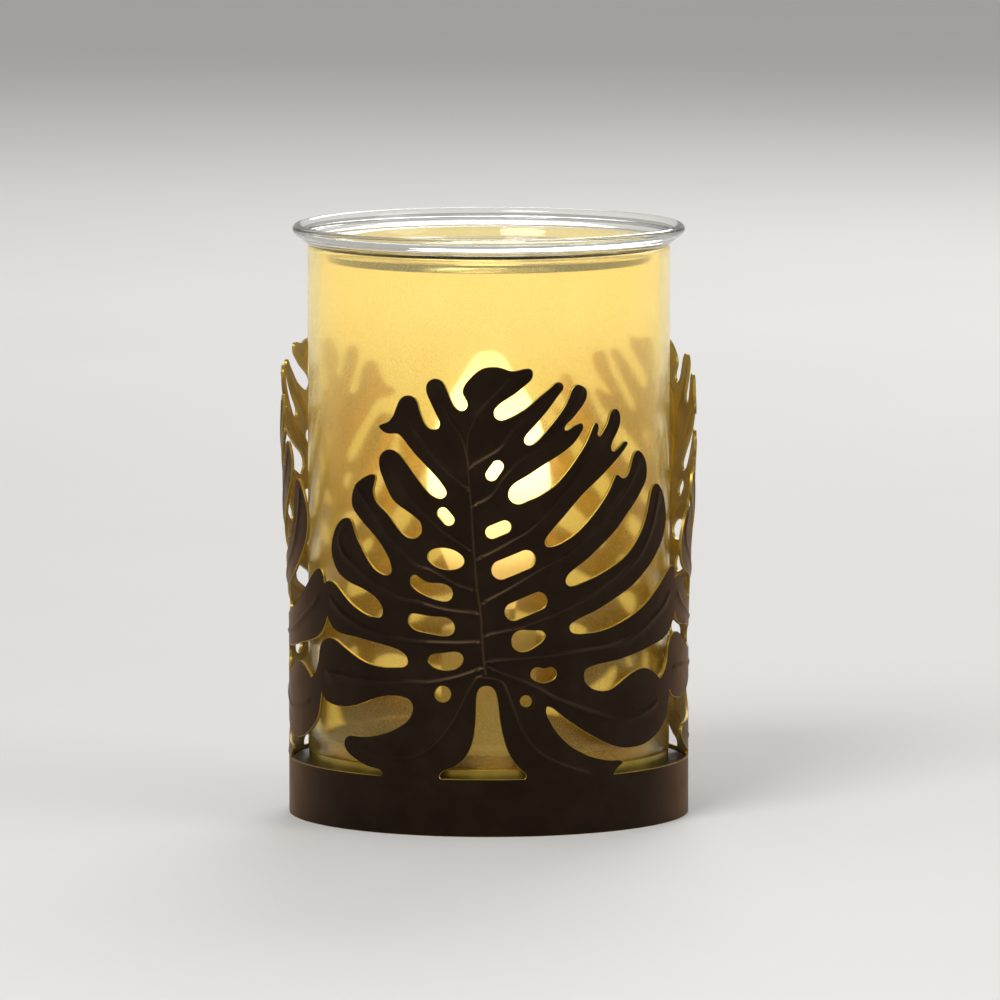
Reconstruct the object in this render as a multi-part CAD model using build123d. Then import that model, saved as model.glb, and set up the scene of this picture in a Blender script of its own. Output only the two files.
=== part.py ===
from build123d import *
import math
import os

# An electric wax melt warmer. A pierced leaf sleeve stands round a frosted glass cylinder.
# A clear glass dish lies on the cylinder, and a small screw bulb inside melts the wax.
# The origin is on the axis, at the level of the table. Millimetres, +Z up, -Y to the front.

# Sleeve
sleeve_radius = 57.0
sleeve_sheet = 0.8
band_height = 16.3
leaf_top = 133.0
leaf_count = 3
flare_width = 2.5
notch_side_gap = 0.7
notch_top_gap = 0.5
sleeve_clearance = 0.5

# Base
deck_gap = 1.7
pan_wall = 1.2
cover_sheet = 1.2
foot_height = 2.0
foot_radius = 5.0
foot_circle = 46.0
foot_count = 4
boss_circle = 38.0
boss_radius = 3.2
screw_count = 3
screw_shank = 1.2
screw_head = 2.8
screw_head_height = 1.2
screw_length = 7.0
screw_clearance = 0.2
thread_clearance = 0.05
cover_clearance = 0.2

# Glass cylinder and its seat
sleeve_to_glass = 4.7
glass_wall = 3.0
glass_height = 143.8
glass_edge = 0.9
seat_height = 3.3
seat_inset = 0.2
seat_lip = 2.0
seat_lip_height = 3.5
seat_clearance = 0.4

# Dish
dish_clearance = 0.4
dish_rim = 1.65
dish_rim_height = 4.35
dish_rim_start = -75.0
dish_rim_end = 200.0
dish_wall = 2.6
dish_depth = 4.3
dish_ledge = 3.1
dish_foot_inset = 2.1
dish_floor_wall = 2.8
dish_bend_shares = (0.7, 0.35)

# Reflector plate under the lamp
shield_sheet = 0.8
shield_gap = 0.6

# Lampholder
holder_radius = 13.5
holder_foot_radius = 15.0
holder_foot_height = 3.0
holder_height = 37.0
holder_floor = 7.0
holder_wall = 4.2
holder_chamfer = 0.8
holder_shoulder = 1.5
core_clearance = 0.1
core_height = 23.0
core_floor = 6.0
shell_wall = 0.5
shell_height = 22.0
shell_clearance = 0.1
contact_sheet = 0.4
contact_width = 4.0
contact_reach = 4.4
contact_gap = 0.1
rivet_radius = 1.2
rivet_length = 4.0
rivet_head = 2.0
rivet_head_height = 0.5
terminal_height = 3.0
terminal_head = 2.2
terminal_head_length = 1.6
terminal_shank = 1.25
terminal_length = 4.2
terminal_clearance = 0.2

# Fixing of the lampholder
nipple_radius = 4.9
nipple_wall = 1.3
nipple_length = 15.0
nipple_engagement = 6.0
nipple_clearance = 0.1
washer_radius = 8.0
washer_sheet = 1.0
nut_across = 14.0
nut_height = 3.5

# Bulb
bulb_cap_radius = 6.9
bulb_cap_sheet = 0.4
bulb_cap_height = 13.4
bulb_skirt_height = 6.6
bulb_skirt_radius = 8.1
bulb_tip_radius = 2.4
bulb_tip_height = 1.2
bulb_tip_stem = 1.5
bulb_insulator_height = 3.4
bulb_insulator_radius = 3.6
bulb_insulator_plug_height = 1.5
bulb_length = 98.0
bulb_radius = 17.5
bulb_glass_wall = 0.9
bulb_neck_gap = 0.1
bulb_neck_depth = 9.0
bulb_tip_above_floor = 4.9
# The envelope above the skirt: radius as a share of the bulb's, height of what is above it.
envelope_shares = ((.60, .12), (.86, .28), (1.0, .466), (.93, .626), (.70, .80), (.36, .933))
stem_clearance = 0.2
stem_foot_height = 1.5
stem_waist = 2.6
stem_length = 30.0
stem_press_width = 7.0
stem_press_depth = 3.0
stem_press_height = 9.0
lead_spacing = 2.2
lead_knee_share = 0.5
wire_radius = 0.35
filament_radius = 8.5
filament_height = 63.0
support_radius = 0.25

# Cord inlet
inlet_gap = 0.3
inlet_bore = 2.7
grommet_neck = 3.6
grommet_flange = 4.4
grommet_flange_width = 1.6
grommet_fit = 0.05

# One overrun serves every cut.
overrun = 1.0

# Worked out from the sizes above
sleeve_inner = sleeve_radius - sleeve_sheet
base_radius = sleeve_inner - sleeve_clearance
pan_inner = base_radius - pan_wall
cover_top = foot_height + cover_sheet
inlet_height = cover_top + inlet_gap + grommet_flange
deck_under = inlet_height + grommet_flange + deck_gap
deck_height = deck_under + pan_wall
glass_radius = sleeve_inner - sleeve_to_glass
glass_inner = glass_radius - glass_wall
glass_foot = deck_height + seat_height
glass_top = glass_foot + glass_height
dish_radius = sleeve_inner - dish_clearance
dish_ledge_radius = glass_inner - seat_clearance
dish_foot_radius = dish_ledge_radius - dish_foot_inset
dish_floor = glass_top - dish_depth
dish_rim_level = glass_top + dish_rim_height
seat_radius = glass_radius - seat_inset
seat_lip_radius = glass_inner - seat_clearance
seat_inner = seat_lip_radius - seat_lip
holder_foot_level = deck_height + shield_sheet
holder_top = holder_foot_level + holder_height
core_level = holder_foot_level + holder_floor
core_radius = holder_radius - holder_wall - core_clearance
shell_level = core_level + core_floor
shell_radius = bulb_cap_radius + shell_clearance + shell_wall
core_bore = shell_radius + core_clearance
bulb_level = shell_level + bulb_tip_above_floor
cap_level = bulb_level + bulb_tip_height + bulb_insulator_height
cap_top = cap_level + bulb_cap_height
skirt_top = cap_top + bulb_skirt_height
bulb_neck = bulb_cap_radius - bulb_cap_sheet - bulb_neck_gap
nipple_level = holder_foot_level + nipple_engagement - nipple_length
washer_level = deck_under - washer_sheet
notch_width = 2 * (grommet_flange + notch_side_gap)
notch_height = inlet_height + grommet_flange + notch_top_gap

AXIS = Axis.Z
LEAF_PITCH = 360.0 / leaf_count
HALF_PITCH = LEAF_PITCH / 2
FRONT = -90.0


# General helpers


def revolved(*points):
    """Turn a closed outline of (radius, height) corners round the axis."""
    face = make_face(Polyline(*[(r, 0, z) for r, z in points], close=True))
    return revolve(face, AXIS)


def revolved_edges(*edges):
    """Turn a closed outline of lines and curves round the axis."""
    return revolve(make_face(Wire(edges)), AXIS)


def ring(inner, outer, low, high):
    """A plain ring round the axis."""
    return revolved((inner, low), (outer, low), (outer, high), (inner, high))


def post(x, y, radius, low, high):
    """An upright round post."""
    from_below = (Align.CENTER, Align.CENTER, Align.MIN)
    return Pos(x, y, low) * Cylinder(radius, high - low, align=from_below)


def on_circle(radius, count, start):
    """Places spaced evenly round the axis, the first at the angle start."""
    for number in range(count):
        angle = math.radians(start + number * 360.0 / count)
        yield radius * math.cos(angle), radius * math.sin(angle)


def save(shape, node):
    """Write one piece to its own file."""
    export_step(shape, "parts/" + node + ".step")


# Leaf sleeve

# The leaf's outline is given in shares: across, of half the pitch of the leaves, and up,
# of the leaf's height above the band. A stroke is a smooth curve. It starts where the last one
# ends, and two strokes meet at a sharp corner.
junction_share = 0.455
flare_foot_share = 0.289
flare_top_share = 0.803
leaf_edge_shares = (
    ((-1, junction_share), (-.947, .4608), (-.9111, .4532), (-.8623, .4324), (-.8155, .4127),
     (-.7578, .3963), (-.7063, .3867), (-.6638, .3846), (-.6372, .3898), (-.6314, .4008), (-.6489, .4215),
     (-.691, .4391), (-.7542, .4534), (-.8112, .4615), (-.8767, .4763), (-.9255, .5016),
     (-.9496, .5376), (-.9372, .5728), (-.9074, .6018), (-.8739, .617), (-.8402, .6215),
     (-.8117, .6151), (-.7921, .5914), (-.7572, .5582), (-.712, .5237), (-.6682, .5001),
     (-.6326, .4912), (-.6013, .49), (-.5821, .4987), (-.5877, .5183), (-.6188, .5487), (-.666, .5785),
     (-.7266, .6063), (-.7838, .634), (-.8113, .6596), (-.8071, .6832), (-.7755, .7094), (-.73, .7259),
     (-.6918, .733), (-.6703, .7287), (-.6725, .7159), (-.6825, .6906), (-.6661, .6683),
     (-.619, .6466), (-.5746, .6219), (-.5411, .6009), (-.5114, .5876), (-.4789, .582),
     (-.4489, .5864), (-.43, .5987), (-.4327, .6173), (-.4601, .633), (-.5151, .6515), (-.5714, .671),
     (-.6006, .6921), (-.6282, .7219), (-.6505, .7523), (-.6505, .7725), (-.6281, .7896),
     (-.5918, .7958), (-.5549, .7906), (-.5122, .7683), (-.4607, .7352), (-.4164, .7065),
     (-.3851, .6905), (-.3542, .6822), (-.3254, .6829), (-.3096, .6934), (-.3207, .7088),
     (-.3637, .7362), (-.4197, .7648), (-.4767, .7938), (-.5187, .8193), (-.5515, .8334),
     (-.5884, .8331), (-.6259, .8368), (-.6545, .8496)),
    ((-.6316, .8567), (-.6015, .8628), (-.5797, .8747), (-.5627, .8922), (-.5459, .9133),
     (-.5247, .9244), (-.4985, .9281), (-.4712, .9251), (-.4522, .9141), (-.4413, .8965),
     (-.4261, .8754), (-.411, .8597), (-.3917, .8507), (-.3697, .8482), (-.3484, .852),
     (-.3421, .8613), (-.3541, .8783), (-.3774, .9028), (-.3973, .9239), (-.4088, .9432),
     (-.4044, .9575), (-.3859, .9674), (-.3617, .9706), (-.3364, .9666), (-.3153, .9541), (-.3, .9364),
     (-.2819, .9139), (-.2632, .8998), (-.2404, .8936), (-.2184, .8984), (-.2101, .9087),
     (-.2197, .9229), (-.2328, .937), (-.2266, .9534), (-.2012, .9709), (-.1635, .9892),
     (-.1293, .998), (-.0951, 1), (-.0541, .998), (-.006, .99), (.0353, .9922), (.07, .9955),
     (.0909, .9924), (.0979, .9817), (.0853, .9658), (.0561, .953), (.0181, .9369), (-.0266, .9223),
     (-.0643, .9089), (-.0862, .8922), (-.0814, .8791), (-.0595, .8716), (-.0266, .8743),
     (.0264, .8875), (.067, .9004), (.1217, .9246), (.1804, .9479), (.2054, .9583), (.2243, .9608),
     (.2414, .9561), (.2465, .9468), (.2287, .9329), (.196, .9111), (.1525, .884), (.1004, .8547),
     (.0652, .8349), (.0556, .8233), (.064, .8133), (.084, .8106), (.1096, .8171), (.1495, .8376),
     (.1961, .8648), (.2402, .8934), (.2722, .9221), (.2916, .944), (.3164, .9531), (.3443, .949),
     (.3644, .9393), (.3672, .9247), (.3477, .9035), (.3113, .8817), (.2755, .8639), (.2562, .8529),
     (.2543, .8452), (.2671, .8443), (.2904, .8515), (.3192, .8583), (.3411, .8588), (.3485, .8518),
     (.3365, .8356), (.3048, .8147), (.2531, .7935), (.1993, .7765), (.1404, .7595), (.0952, .7448),
     (.0498, .731), (.0049, .7165), (-.0151, .7021), (-.0172, .6866), (.0002, .6736), (.0307, .6683),
     (.0715, .6755), (.114, .6837), (.157, .6956), (.2067, .7134), (.2477, .735), (.2829, .756),
     (.3154, .7779), (.3485, .8016), (.3721, .8221), (.3891, .8408), (.4014, .8532), (.4153, .859),
     (.4279, .854), (.43, .8416), (.4258, .8324), (.4322, .826), (.4463, .8312), (.4648, .8449),
     (.4822, .8608), (.4924, .8751), (.5041, .8853), (.5235, .8896), (.5448, .884), (.5556, .8709),
     (.5541, .8533), (.5388, .8342), (.5192, .8184), (.5043, .8034), (.5029, .792), (.5148, .7866),
     (.5344, .7909), (.5635, .8024), (.587, .8087), (.6014, .8041), (.5887, .7931), (.5521, .7748),
     (.4959, .7496), (.4245, .7197), (.3496, .6885), (.297, .6617), (.249, .6347), (.2018, .6091),
     (.1696, .5894), (.1574, .5762), (.1619, .5658), (.1806, .563), (.212, .5655), (.25, .5738),
     (.2918, .586), (.3344, .6027), (.3778, .6244), (.4188, .6466), (.4573, .6704), (.4931, .6967),
     (.5171, .7199), (.5335, .7297), (.5504, .7266), (.5692, .7203), (.5897, .7221), (.6079, .7339),
     (.6239, .7545), (.6385, .7732), (.6629, .7835), (.689, .779), (.7124, .7656), (.7293, .7447),
     (.7291, .7181), (.7001, .6896), (.6515, .6587), (.5908, .6267), (.5219, .5901), (.4421, .5568),
     (.3595, .5242), (.2934, .5022), (.2663, .4875), (.2614, .4757), (.2732, .467), (.3006, .4654),
     (.3471, .4726), (.4156, .4846), (.4872, .5004), (.5551, .5174), (.6186, .5409), (.6769, .5739),
     (.7183, .6098), (.7417, .644), (.7565, .6709), (.775, .6911), (.8028, .6977), (.8368, .6883),
     (.8647, .6659), (.8844, .6357), (.8895, .6056), (.875, .5732), (.8404, .5418), (.7845, .5106),
     (.7107, .4794), (.6167, .4484), (.5384, .4289), (.4684, .4118), (.4015, .3969), (.3441, .3868),
     (.3036, .3768), (.2845, .3668), (.2889, .3562), (.3135, .349), (.3597, .3477), (.4333, .3503),
     (.5106, .3584), (.5801, .3701), (.6541, .385), (.7485, .4112), (.8098, .4346), (.8511, .4522),
     (.91, .477), (.958, .489), (.987, .481), (1, junction_share)),
)

# The opening between two leaves above their joined lower lobes, across from the right leaf's
# middle, in strokes as above.
side_opening_shares = (
    ((1.0128, .3739), (1.0268, .3605), (1.0456, .3493), (1.0829, .3396), (1.1392, .3346),
     (1.1992, .3319), (1.2989, .3246), (1.4009, .3156), (1.4492, .3089), (1.4816, .2996),
     (1.4968, .2889), (1.4982, .2778), (1.4843, .2699), (1.4511, .2661), (1.4006, .2646),
     (1.3447, .2654), (1.2983, .269), (1.2502, .2763), (1.2, .2873), (1.1518, .2997), (1.1058, .3117),
     (1.0672, .3198), (1.0264, .3221), (.9862, .3168), (.9561, .3054), (.9391, .2871), (.933, .267),
     (.9168, .2454), (.8613, .2169)),
    ((.8207, .2324), (.7804, .2434), (.7362, .2496), (.6945, .2493), (.6403, .2413), (.5959, .2301),
     (.5535, .2178), (.5126, .208), (.4731, .2049), (.4347, .2076), (.3988, .215), (.3738, .2263),
     (.3615, .2404), (.3643, .2541), (.3862, .2635), (.427, .2694), (.5005, .2736), (.5993, .2808),
     (.6992, .2904), (.7998, .3015), (.8935, .313), (.9538, .3288), (.9889, .3483), (1.0128, .3739)),
)

# The opening between the stems of two leaves, standing on the band.
stem_opening_shares = (
    ((.959, .1861), (.9713, .176), (.9959, .1675), (1.0302, .162), (1.0808, .1586), (1.1466, .1595),
     (1.1996, .1648), (1.254, .1733), (1.3059, .1835), (1.3506, .1907), (1.4041, .196), (1.451, .1965),
     (1.4883, .1929), (1.5126, .1857), (1.5242, .1746), (1.5215, .1588), (1.5035, .142),
     (1.465, .1256), (1.4112, .1106), (1.3504, .1), (1.2978, .0941), (1.2496, .0915), (1.1993, .091),
     (1.1625, .0897), (1.139, .082), (1.1298, .0691), (1.1426, .0543), (1.1748, .042), (1.2204, .0306),
     (1.2697, .0215), (1.321, .0167), (1.3501, .0129), (1.3622, .0061), (1.3501, 0)),
)
stem_opening_foot_shares = (
    ((.529, 0), (.5458, .011), (.5726, .0203), (.5879, .0265), (.5725, .0315), (.5334, .0341),
     (.4892, .036), (.4426, .0413), (.3902, .0494), (.3395, .0615), (.2902, .0763), (.2454, .0971),
     (.2048, .1219), (.1795, .1453), (.1675, .1635), (.1688, .1716), (.1814, .174), (.2001, .1697),
     (.2284, .1583), (.2625, .1438), (.3041, .1289), (.3502, .1135), (.3975, .0993), (.4502, .0853),
     (.497, .0743), (.5498, .0653), (.6008, .0607), (.6546, .0598), (.7119, .0619), (.763, .0678),
     (.8146, .0779), (.8597, .0905), (.8979, .1065), (.9277, .1255), (.9462, .1514), (.959, .1861)),
)

# The narrow opening beside the stem, standing on the band.
stem_gap_shares = (
    ((-.3371, 0), (-.3423, .0073), (-.3292, .0167), (-.2935, .0244), (-.2581, .034), (-.2261, .0487),
     (-.2006, .0685), (-.1827, .0924), (-.1726, .1202), (-.1675, .1513), (-.1662, .1823),
     (-.163, .2051), (-.1529, .2189), (-.1358, .2254), (-.1093, .2268), (-.0904, .2225),
     (-.0764, .2124), (-.0688, .1987), (-.0631, .1791), (-.058, .1546), (-.0511, .1301),
     (-.0403, .1045), (-.0244, .077), (-.0015, .052), (.0254, .0332), (.0523, .0201), (.0678, .0115),
     (.0691, .0049), (.06, 0)),
)

# Round-ended slots: the middles of both ends, and half the width as a share of the leaf's height.
slot_shares = (
    ((-.3256, .6459), (-.2987, .63), .0142),
    ((-.097, .74), (-.0697, .7599), .0149),
    ((-.0941, .6011), (-.0359, .6134), .016),
    ((-.05, .5093), (.0662, .5334), .0231),
    ((.0105, .4073), (.1258, .4316), .0217),
)

# Round holes: the middle, and the radius as a share of the leaf's height.
round_shares = (
    ((-.3254, .2063), .0196),
    ((.0677, .1898), .0137),
)

# One oval hole: the middle, the half length and half width as shares of the height, the slope.
oval_shares = ((-.311, .5349), .0454, .0259)
oval_slope = -9.0

# Freely shaped holes, each a closed curve.
free_hole_shares = (
    ((-.4821, .4781), (-.4747, .4904), (-.4579, .4931), (-.4364, .487), (-.4112, .4789),
     (-.3783, .4749), (-.3394, .4749), (-.3072, .4714), (-.2829, .4618), (-.2772, .4488),
     (-.287, .4372), (-.3108, .4317), (-.343, .4332), (-.3884, .4403), (-.4324, .45), (-.4677, .462)),
    ((-.495, .3859), (-.4844, .3964), (-.4598, .3989), (-.4129, .3956), (-.3603, .3933),
     (-.3181, .3926), (-.286, .3858), (-.2695, .3716), (-.2748, .3561), (-.3013, .3483),
     (-.3448, .3487), (-.4073, .3535), (-.4575, .359), (-.4879, .371)),
    ((-.396, .289), (-.3847, .2986), (-.355, .3034), (-.3126, .3063), (-.2707, .3091), (-.2438, .3061),
     (-.2285, .2955), (-.2336, .2824), (-.2528, .2718), (-.2868, .2652), (-.3237, .2644),
     (-.3603, .2687), (-.3867, .2774)),
    ((.0009, .3354), (.0097, .3517), (.0364, .3609), (.0794, .3614), (.1215, .3599), (.1516, .3565),
     (.1623, .3484), (.1519, .3368), (.1206, .3236), (.083, .3127), (.0477, .3095), (.0188, .3153),
     (.0035, .3256)),
    ((.0909, .2555), (.1013, .2658), (.1221, .2704), (.1437, .2681), (.1668, .2677), (.188, .2699),
     (.208, .2646), (.2175, .2539), (.2067, .2424), (.18, .2351), (.145, .2331), (.1104, .2392),
     (.0935, .247)),
)

# A long stroke is cut into edges of about this many points.
stroke_piece = 8

# Where a cutter starts and ends, of the sleeve's radius. The top one reaches a little above the
# leaf and a little past the seam between two leaves.
cut_start_share = 0.42
cut_end_share = 1.12
leaf_room_share = 1.08
seam_share = 1.006

# Worked out from the leaf's shares
leaf_height = leaf_top - band_height
junction_height = band_height + junction_share * leaf_height
flare_foot_height = band_height + flare_foot_share * leaf_height
flare_top_height = band_height + flare_top_share * leaf_height


def sleeve_radius_at(height):
    """Outside radius of the sleeve at a height: straight, then an easy outward flare."""
    share = min(max((height - flare_foot_height) / (flare_top_height - flare_foot_height), 0), 1)
    return sleeve_radius + flare_width * share * share * (3 - 2 * share)


def leaf_place(across, up):
    """Angle from the leaf's middle, in radians, and height of a point given in shares."""
    height = band_height + up * leaf_height
    narrowing = sleeve_radius_at(junction_height) / sleeve_radius_at(height)
    if height <= junction_height or abs(across) >= 1:
        narrowing = 1
    return math.radians(across * HALF_PITCH * narrowing), height


def stroke_edges(strokes, place):
    """Edges along the strokes of an open outline. A long smooth curve is cut into short edges."""
    edges, end = [], []
    for stroke in strokes:
        points = end + [place(*shares) for shares in stroke]
        curve = Spline(*points)
        pieces = math.ceil(len(points) / stroke_piece)
        edges += [curve.trim(n / pieces, (n + 1) / pieces) for n in range(pieces)]
        end = points[-1:]
    return edges


def radial_cutter(edges):
    """A cutter whose walls point at the axis. The edges are its closed outline on the far plane."""
    outline = make_face(Wire(edges))
    sections = []
    for share in (cut_start_share, cut_end_share):
        distance = share * sleeve_radius
        plane = Plane(origin=(0, -distance, 0), x_dir=(1, 0, 0), z_dir=(0, -1, 0))
        sections.append(plane * scale(outline, by=(share / cut_end_share, 1, 1)))
    return loft(sections, ruled=True)


def place_across(middle):
    """A function that places shares on the cutters' far plane, across from a middle angle."""
    def place(across, up):
        angle, height = leaf_place(across, up)
        return cut_end_share * sleeve_radius * math.tan(angle - math.radians(middle)), height
    return place


def leaf_edge_cutter():
    """Everything above the leaf's edge, from one junction to the next."""
    edges = stroke_edges(leaf_edge_shares, place_across(0))
    start, end = edges[0] @ 0, edges[-1] @ 1
    side = cut_end_share * sleeve_radius * math.tan(math.radians(HALF_PITCH * seam_share))
    room = leaf_top * leaf_room_share
    corners = [end, (side, end.Y), (side, room), (-side, room), (-side, start.Y), start]
    return radial_cutter(edges + [Line(a, b) for a, b in zip(corners, corners[1:])])


def opening_cutter(strokes, middle, foot=()):
    """A closed opening. The foot's strokes follow after a straight line, and a gap is closed."""
    edges = stroke_edges(strokes, place_across(middle))
    if foot:
        more = stroke_edges(foot, place_across(middle))
        edges += [Line(edges[-1] @ 1, more[0] @ 0), *more]
    if (foot or strokes)[-1][-1] != strokes[0][0]:
        edges.append(Line(edges[-1] @ 1, edges[0] @ 0))
    return radial_cutter(edges)


def free_hole_cutter(points):
    """A smooth closed hole."""
    place = place_across(0)
    return radial_cutter([Spline(*[place(*shares) for shares in points], periodic=True)])


def radial_punch(sketch, angle, height):
    """Push a flat outline through the sleeve at an angle from the leaf's middle."""
    start, end = cut_start_share * sleeve_radius, cut_end_share * sleeve_radius
    plane = Plane(origin=(0, -start, height), x_dir=(1, 0, 0), z_dir=(0, -1, 0))
    return Rot(0, 0, math.degrees(angle)) * extrude(plane * sketch, end - start)


def slot_cutter(first, second, half_width):
    """A round-ended slot between two places."""
    (angle_1, height_1), (angle_2, height_2) = leaf_place(*first), leaf_place(*second)
    angle, height = (angle_1 + angle_2) / 2, (height_1 + height_2) / 2
    across = sleeve_radius_at(height) * (angle_2 - angle_1) / 2
    up = (height_2 - height_1) / 2
    width = 2 * half_width * leaf_height
    slope = math.degrees(math.atan2(up, across))
    slot = SlotCenterToCenter(2 * math.hypot(across, up), width, slope)
    return radial_punch(slot, angle, height)


def leaf_cutters():
    """Every cut of one leaf."""
    to_junction = Rot(0, 0, HALF_PITCH)
    cutters = [
        leaf_edge_cutter(),
        to_junction * opening_cutter(side_opening_shares, HALF_PITCH),
        to_junction * opening_cutter(stem_opening_shares, HALF_PITCH, stem_opening_foot_shares),
        opening_cutter(stem_gap_shares, 0),
    ]
    cutters += [free_hole_cutter(points) for points in free_hole_shares]
    cutters += [slot_cutter(*slot) for slot in slot_shares]
    for place, radius_share in round_shares:
        cutters.append(radial_punch(Circle(radius_share * leaf_height), *leaf_place(*place)))
    place, length_share, width_share = oval_shares
    oval = Ellipse(length_share * leaf_height, width_share * leaf_height)
    cutters.append(radial_punch(Rot(0, 0, oval_slope) * oval, *leaf_place(*place)))
    return cutters


def leaf_sleeve():
    """The pierced sleeve: a band, three joined leaves and a notch for the cord."""
    third = (flare_top_height - flare_foot_height) / 3
    top = leaf_top * leaf_room_share - overrun

    def wall(radius):
        wide = radius + flare_width
        bend = Bezier((radius, 0, flare_foot_height), (radius, 0, flare_foot_height + third),
                      (wide, 0, flare_top_height - third), (wide, 0, flare_top_height))
        return [Line((radius, 0, 0), bend @ 0), bend, Line(bend @ 1, (wide, 0, top))]

    outside, inside = wall(sleeve_radius), wall(sleeve_inner)
    lid = Line(outside[-1] @ 1, inside[-1] @ 1)
    foot = Line(inside[0] @ 0, outside[0] @ 0)
    shell = revolved_edges(*outside, lid, *inside, foot)
    cutters = []
    for number in range(leaf_count):
        cutters += [Rot(0, 0, number * LEAF_PITCH) * cutter for cutter in leaf_cutters()]
    notch = Box(notch_width, sleeve_radius, notch_height, align=(Align.CENTER, Align.MIN, Align.MIN))
    cutters.append(Pos(0, pan_inner - overrun, 0) * notch)
    return shell.cut(*cutters)


# Base


def inlet_cylinder(radius, start, end):
    """A round bar on the inlet's axis, from start to end on the way out of the back."""
    plane = Plane(origin=(0, start, inlet_height), x_dir=(1, 0, 0), z_dir=(0, 1, 0))
    return extrude(plane * Circle(radius), end - start)


def base_pan():
    """The base's pan: side wall, deck, and bosses for the cover's screws."""
    pan = revolved((0, deck_under), (pan_inner, deck_under), (pan_inner, foot_height),
                   (base_radius, foot_height), (base_radius, deck_height), (0, deck_height))
    for x, y in on_circle(boss_circle, screw_count, FRONT):
        pan += post(x, y, boss_radius, cover_top, deck_height)
    for x, y in on_circle(boss_circle, screw_count, FRONT):
        pan -= post(x, y, screw_shank + thread_clearance, 0, foot_height + screw_length + overrun)
    pan -= post(0, 0, nipple_radius + nipple_clearance, 0, deck_height + overrun)
    return pan - inlet_cylinder(grommet_neck + grommet_fit, pan_inner - overrun, base_radius + overrun)


def bottom_cover():
    """The flat cover that closes the pan from below."""
    cover = post(0, 0, pan_inner - cover_clearance, foot_height, cover_top)
    for x, y in on_circle(boss_circle, screw_count, FRONT):
        cover -= post(x, y, screw_shank + screw_clearance, 0, deck_height)
    return cover


def cover_screws():
    """Screws that hold the cover, heads below it."""
    screws = []
    for x, y in on_circle(boss_circle, screw_count, FRONT):
        head = post(x, y, screw_head, foot_height - screw_head_height, foot_height)
        screws.append(head + post(x, y, screw_shank, foot_height, foot_height + screw_length))
    return Compound(children=screws)


def feet():
    """Rubber feet under the cover."""
    start = FRONT + 180.0 / foot_count
    places = on_circle(foot_circle, foot_count, start)
    return Compound(children=[post(x, y, foot_radius, 0, foot_height) for x, y in places])


def cord_grommet():
    """The bush in the pan's wall that a cord would come through."""
    inner_seat = math.sqrt(pan_inner ** 2 - grommet_flange ** 2)
    grommet = inlet_cylinder(grommet_flange, inner_seat - grommet_flange_width, inner_seat)
    grommet += inlet_cylinder(grommet_neck, inner_seat, base_radius)
    grommet += inlet_cylinder(grommet_flange, base_radius, base_radius + grommet_flange_width)
    return grommet - inlet_cylinder(inlet_bore, 0, 2 * base_radius)


def seat_ring():
    """The ring that carries the glass: an outer ledge and a lip inside the glass."""
    return revolved((seat_inner, deck_height), (seat_radius, deck_height), (seat_radius, glass_foot),
                    (seat_lip_radius, glass_foot), (seat_lip_radius, glass_foot + seat_lip_height),
                    (seat_inner, glass_foot + seat_lip_height))


def heat_shield():
    """The reflector plate that lies on the deck, inside the seat ring."""
    return ring(nipple_radius + nipple_clearance, seat_inner - shield_gap, deck_height, holder_foot_level)


# Glass


def shade_glass():
    """The frosted glass cylinder, open at both ends, with its edges ground round."""
    glass = ring(glass_inner, glass_radius, glass_foot, glass_top)
    return fillet(glass.edges(), glass_edge)


def melt_dish():
    """The clear glass dish: a shallow bowl, a ledge that lies on the glass, and a rolled rim."""
    rim_x, rim_z = dish_radius - dish_rim, dish_rim_level
    across, up = dish_bend_shares
    rim = Plane.XZ * Pos(rim_x, rim_z) * CenterArc((0, 0), dish_rim, dish_rim_start,
                                                   dish_rim_end - dish_rim_start)
    outer = Polyline((0, 0, dish_floor), (dish_foot_radius, 0, dish_floor),
                     (dish_ledge_radius, 0, glass_top), (dish_ledge_radius + dish_ledge, 0, glass_top),
                     rim @ 0)
    floor = dish_floor + dish_floor_wall
    bend = (dish_ledge_radius - across * dish_wall, 0, glass_top + up * dish_wall)
    flat_end = (dish_foot_radius - dish_wall, 0, floor)
    inner = Spline(flat_end, bend, rim @ 1, tangents=(Vector(1, 0, 0), Vector(*(rim % 1)) * -1))
    inside = Line((0, 0, floor), flat_end)
    axis_line = Line((0, 0, floor), (0, 0, dish_floor))
    return revolve(make_face(Wire([*outer.edges(), rim, inner, inside, axis_line])), AXIS)


# Lampholder


def side_bar(side, radius, start, end, height):
    """A round bar along X on one side of the axis, side being 1 or -1."""
    plane = Plane(origin=(side * start, 0, height), x_dir=(0, 1, 0), z_dir=(side, 0, 0))
    return extrude(plane * Circle(radius), end - start)


def holder_body():
    """The outer body: a cup on a foot, with side openings over the terminal screws."""
    hole = nipple_radius + nipple_clearance
    foot_top = holder_foot_level + holder_foot_height
    body = revolved((hole, holder_foot_level), (holder_foot_radius, holder_foot_level),
                    (holder_foot_radius, foot_top), (holder_radius, foot_top + holder_shoulder),
                    (holder_radius, holder_top - holder_chamfer),
                    (holder_radius - holder_chamfer, holder_top),
                    (holder_radius - holder_wall, holder_top),
                    (holder_radius - holder_wall, core_level), (hole, core_level))
    for side in (1, -1):
        body -= side_bar(side, terminal_head + terminal_clearance, core_radius - overrun,
                         holder_radius + overrun, core_level + terminal_height)
    return body


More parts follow.
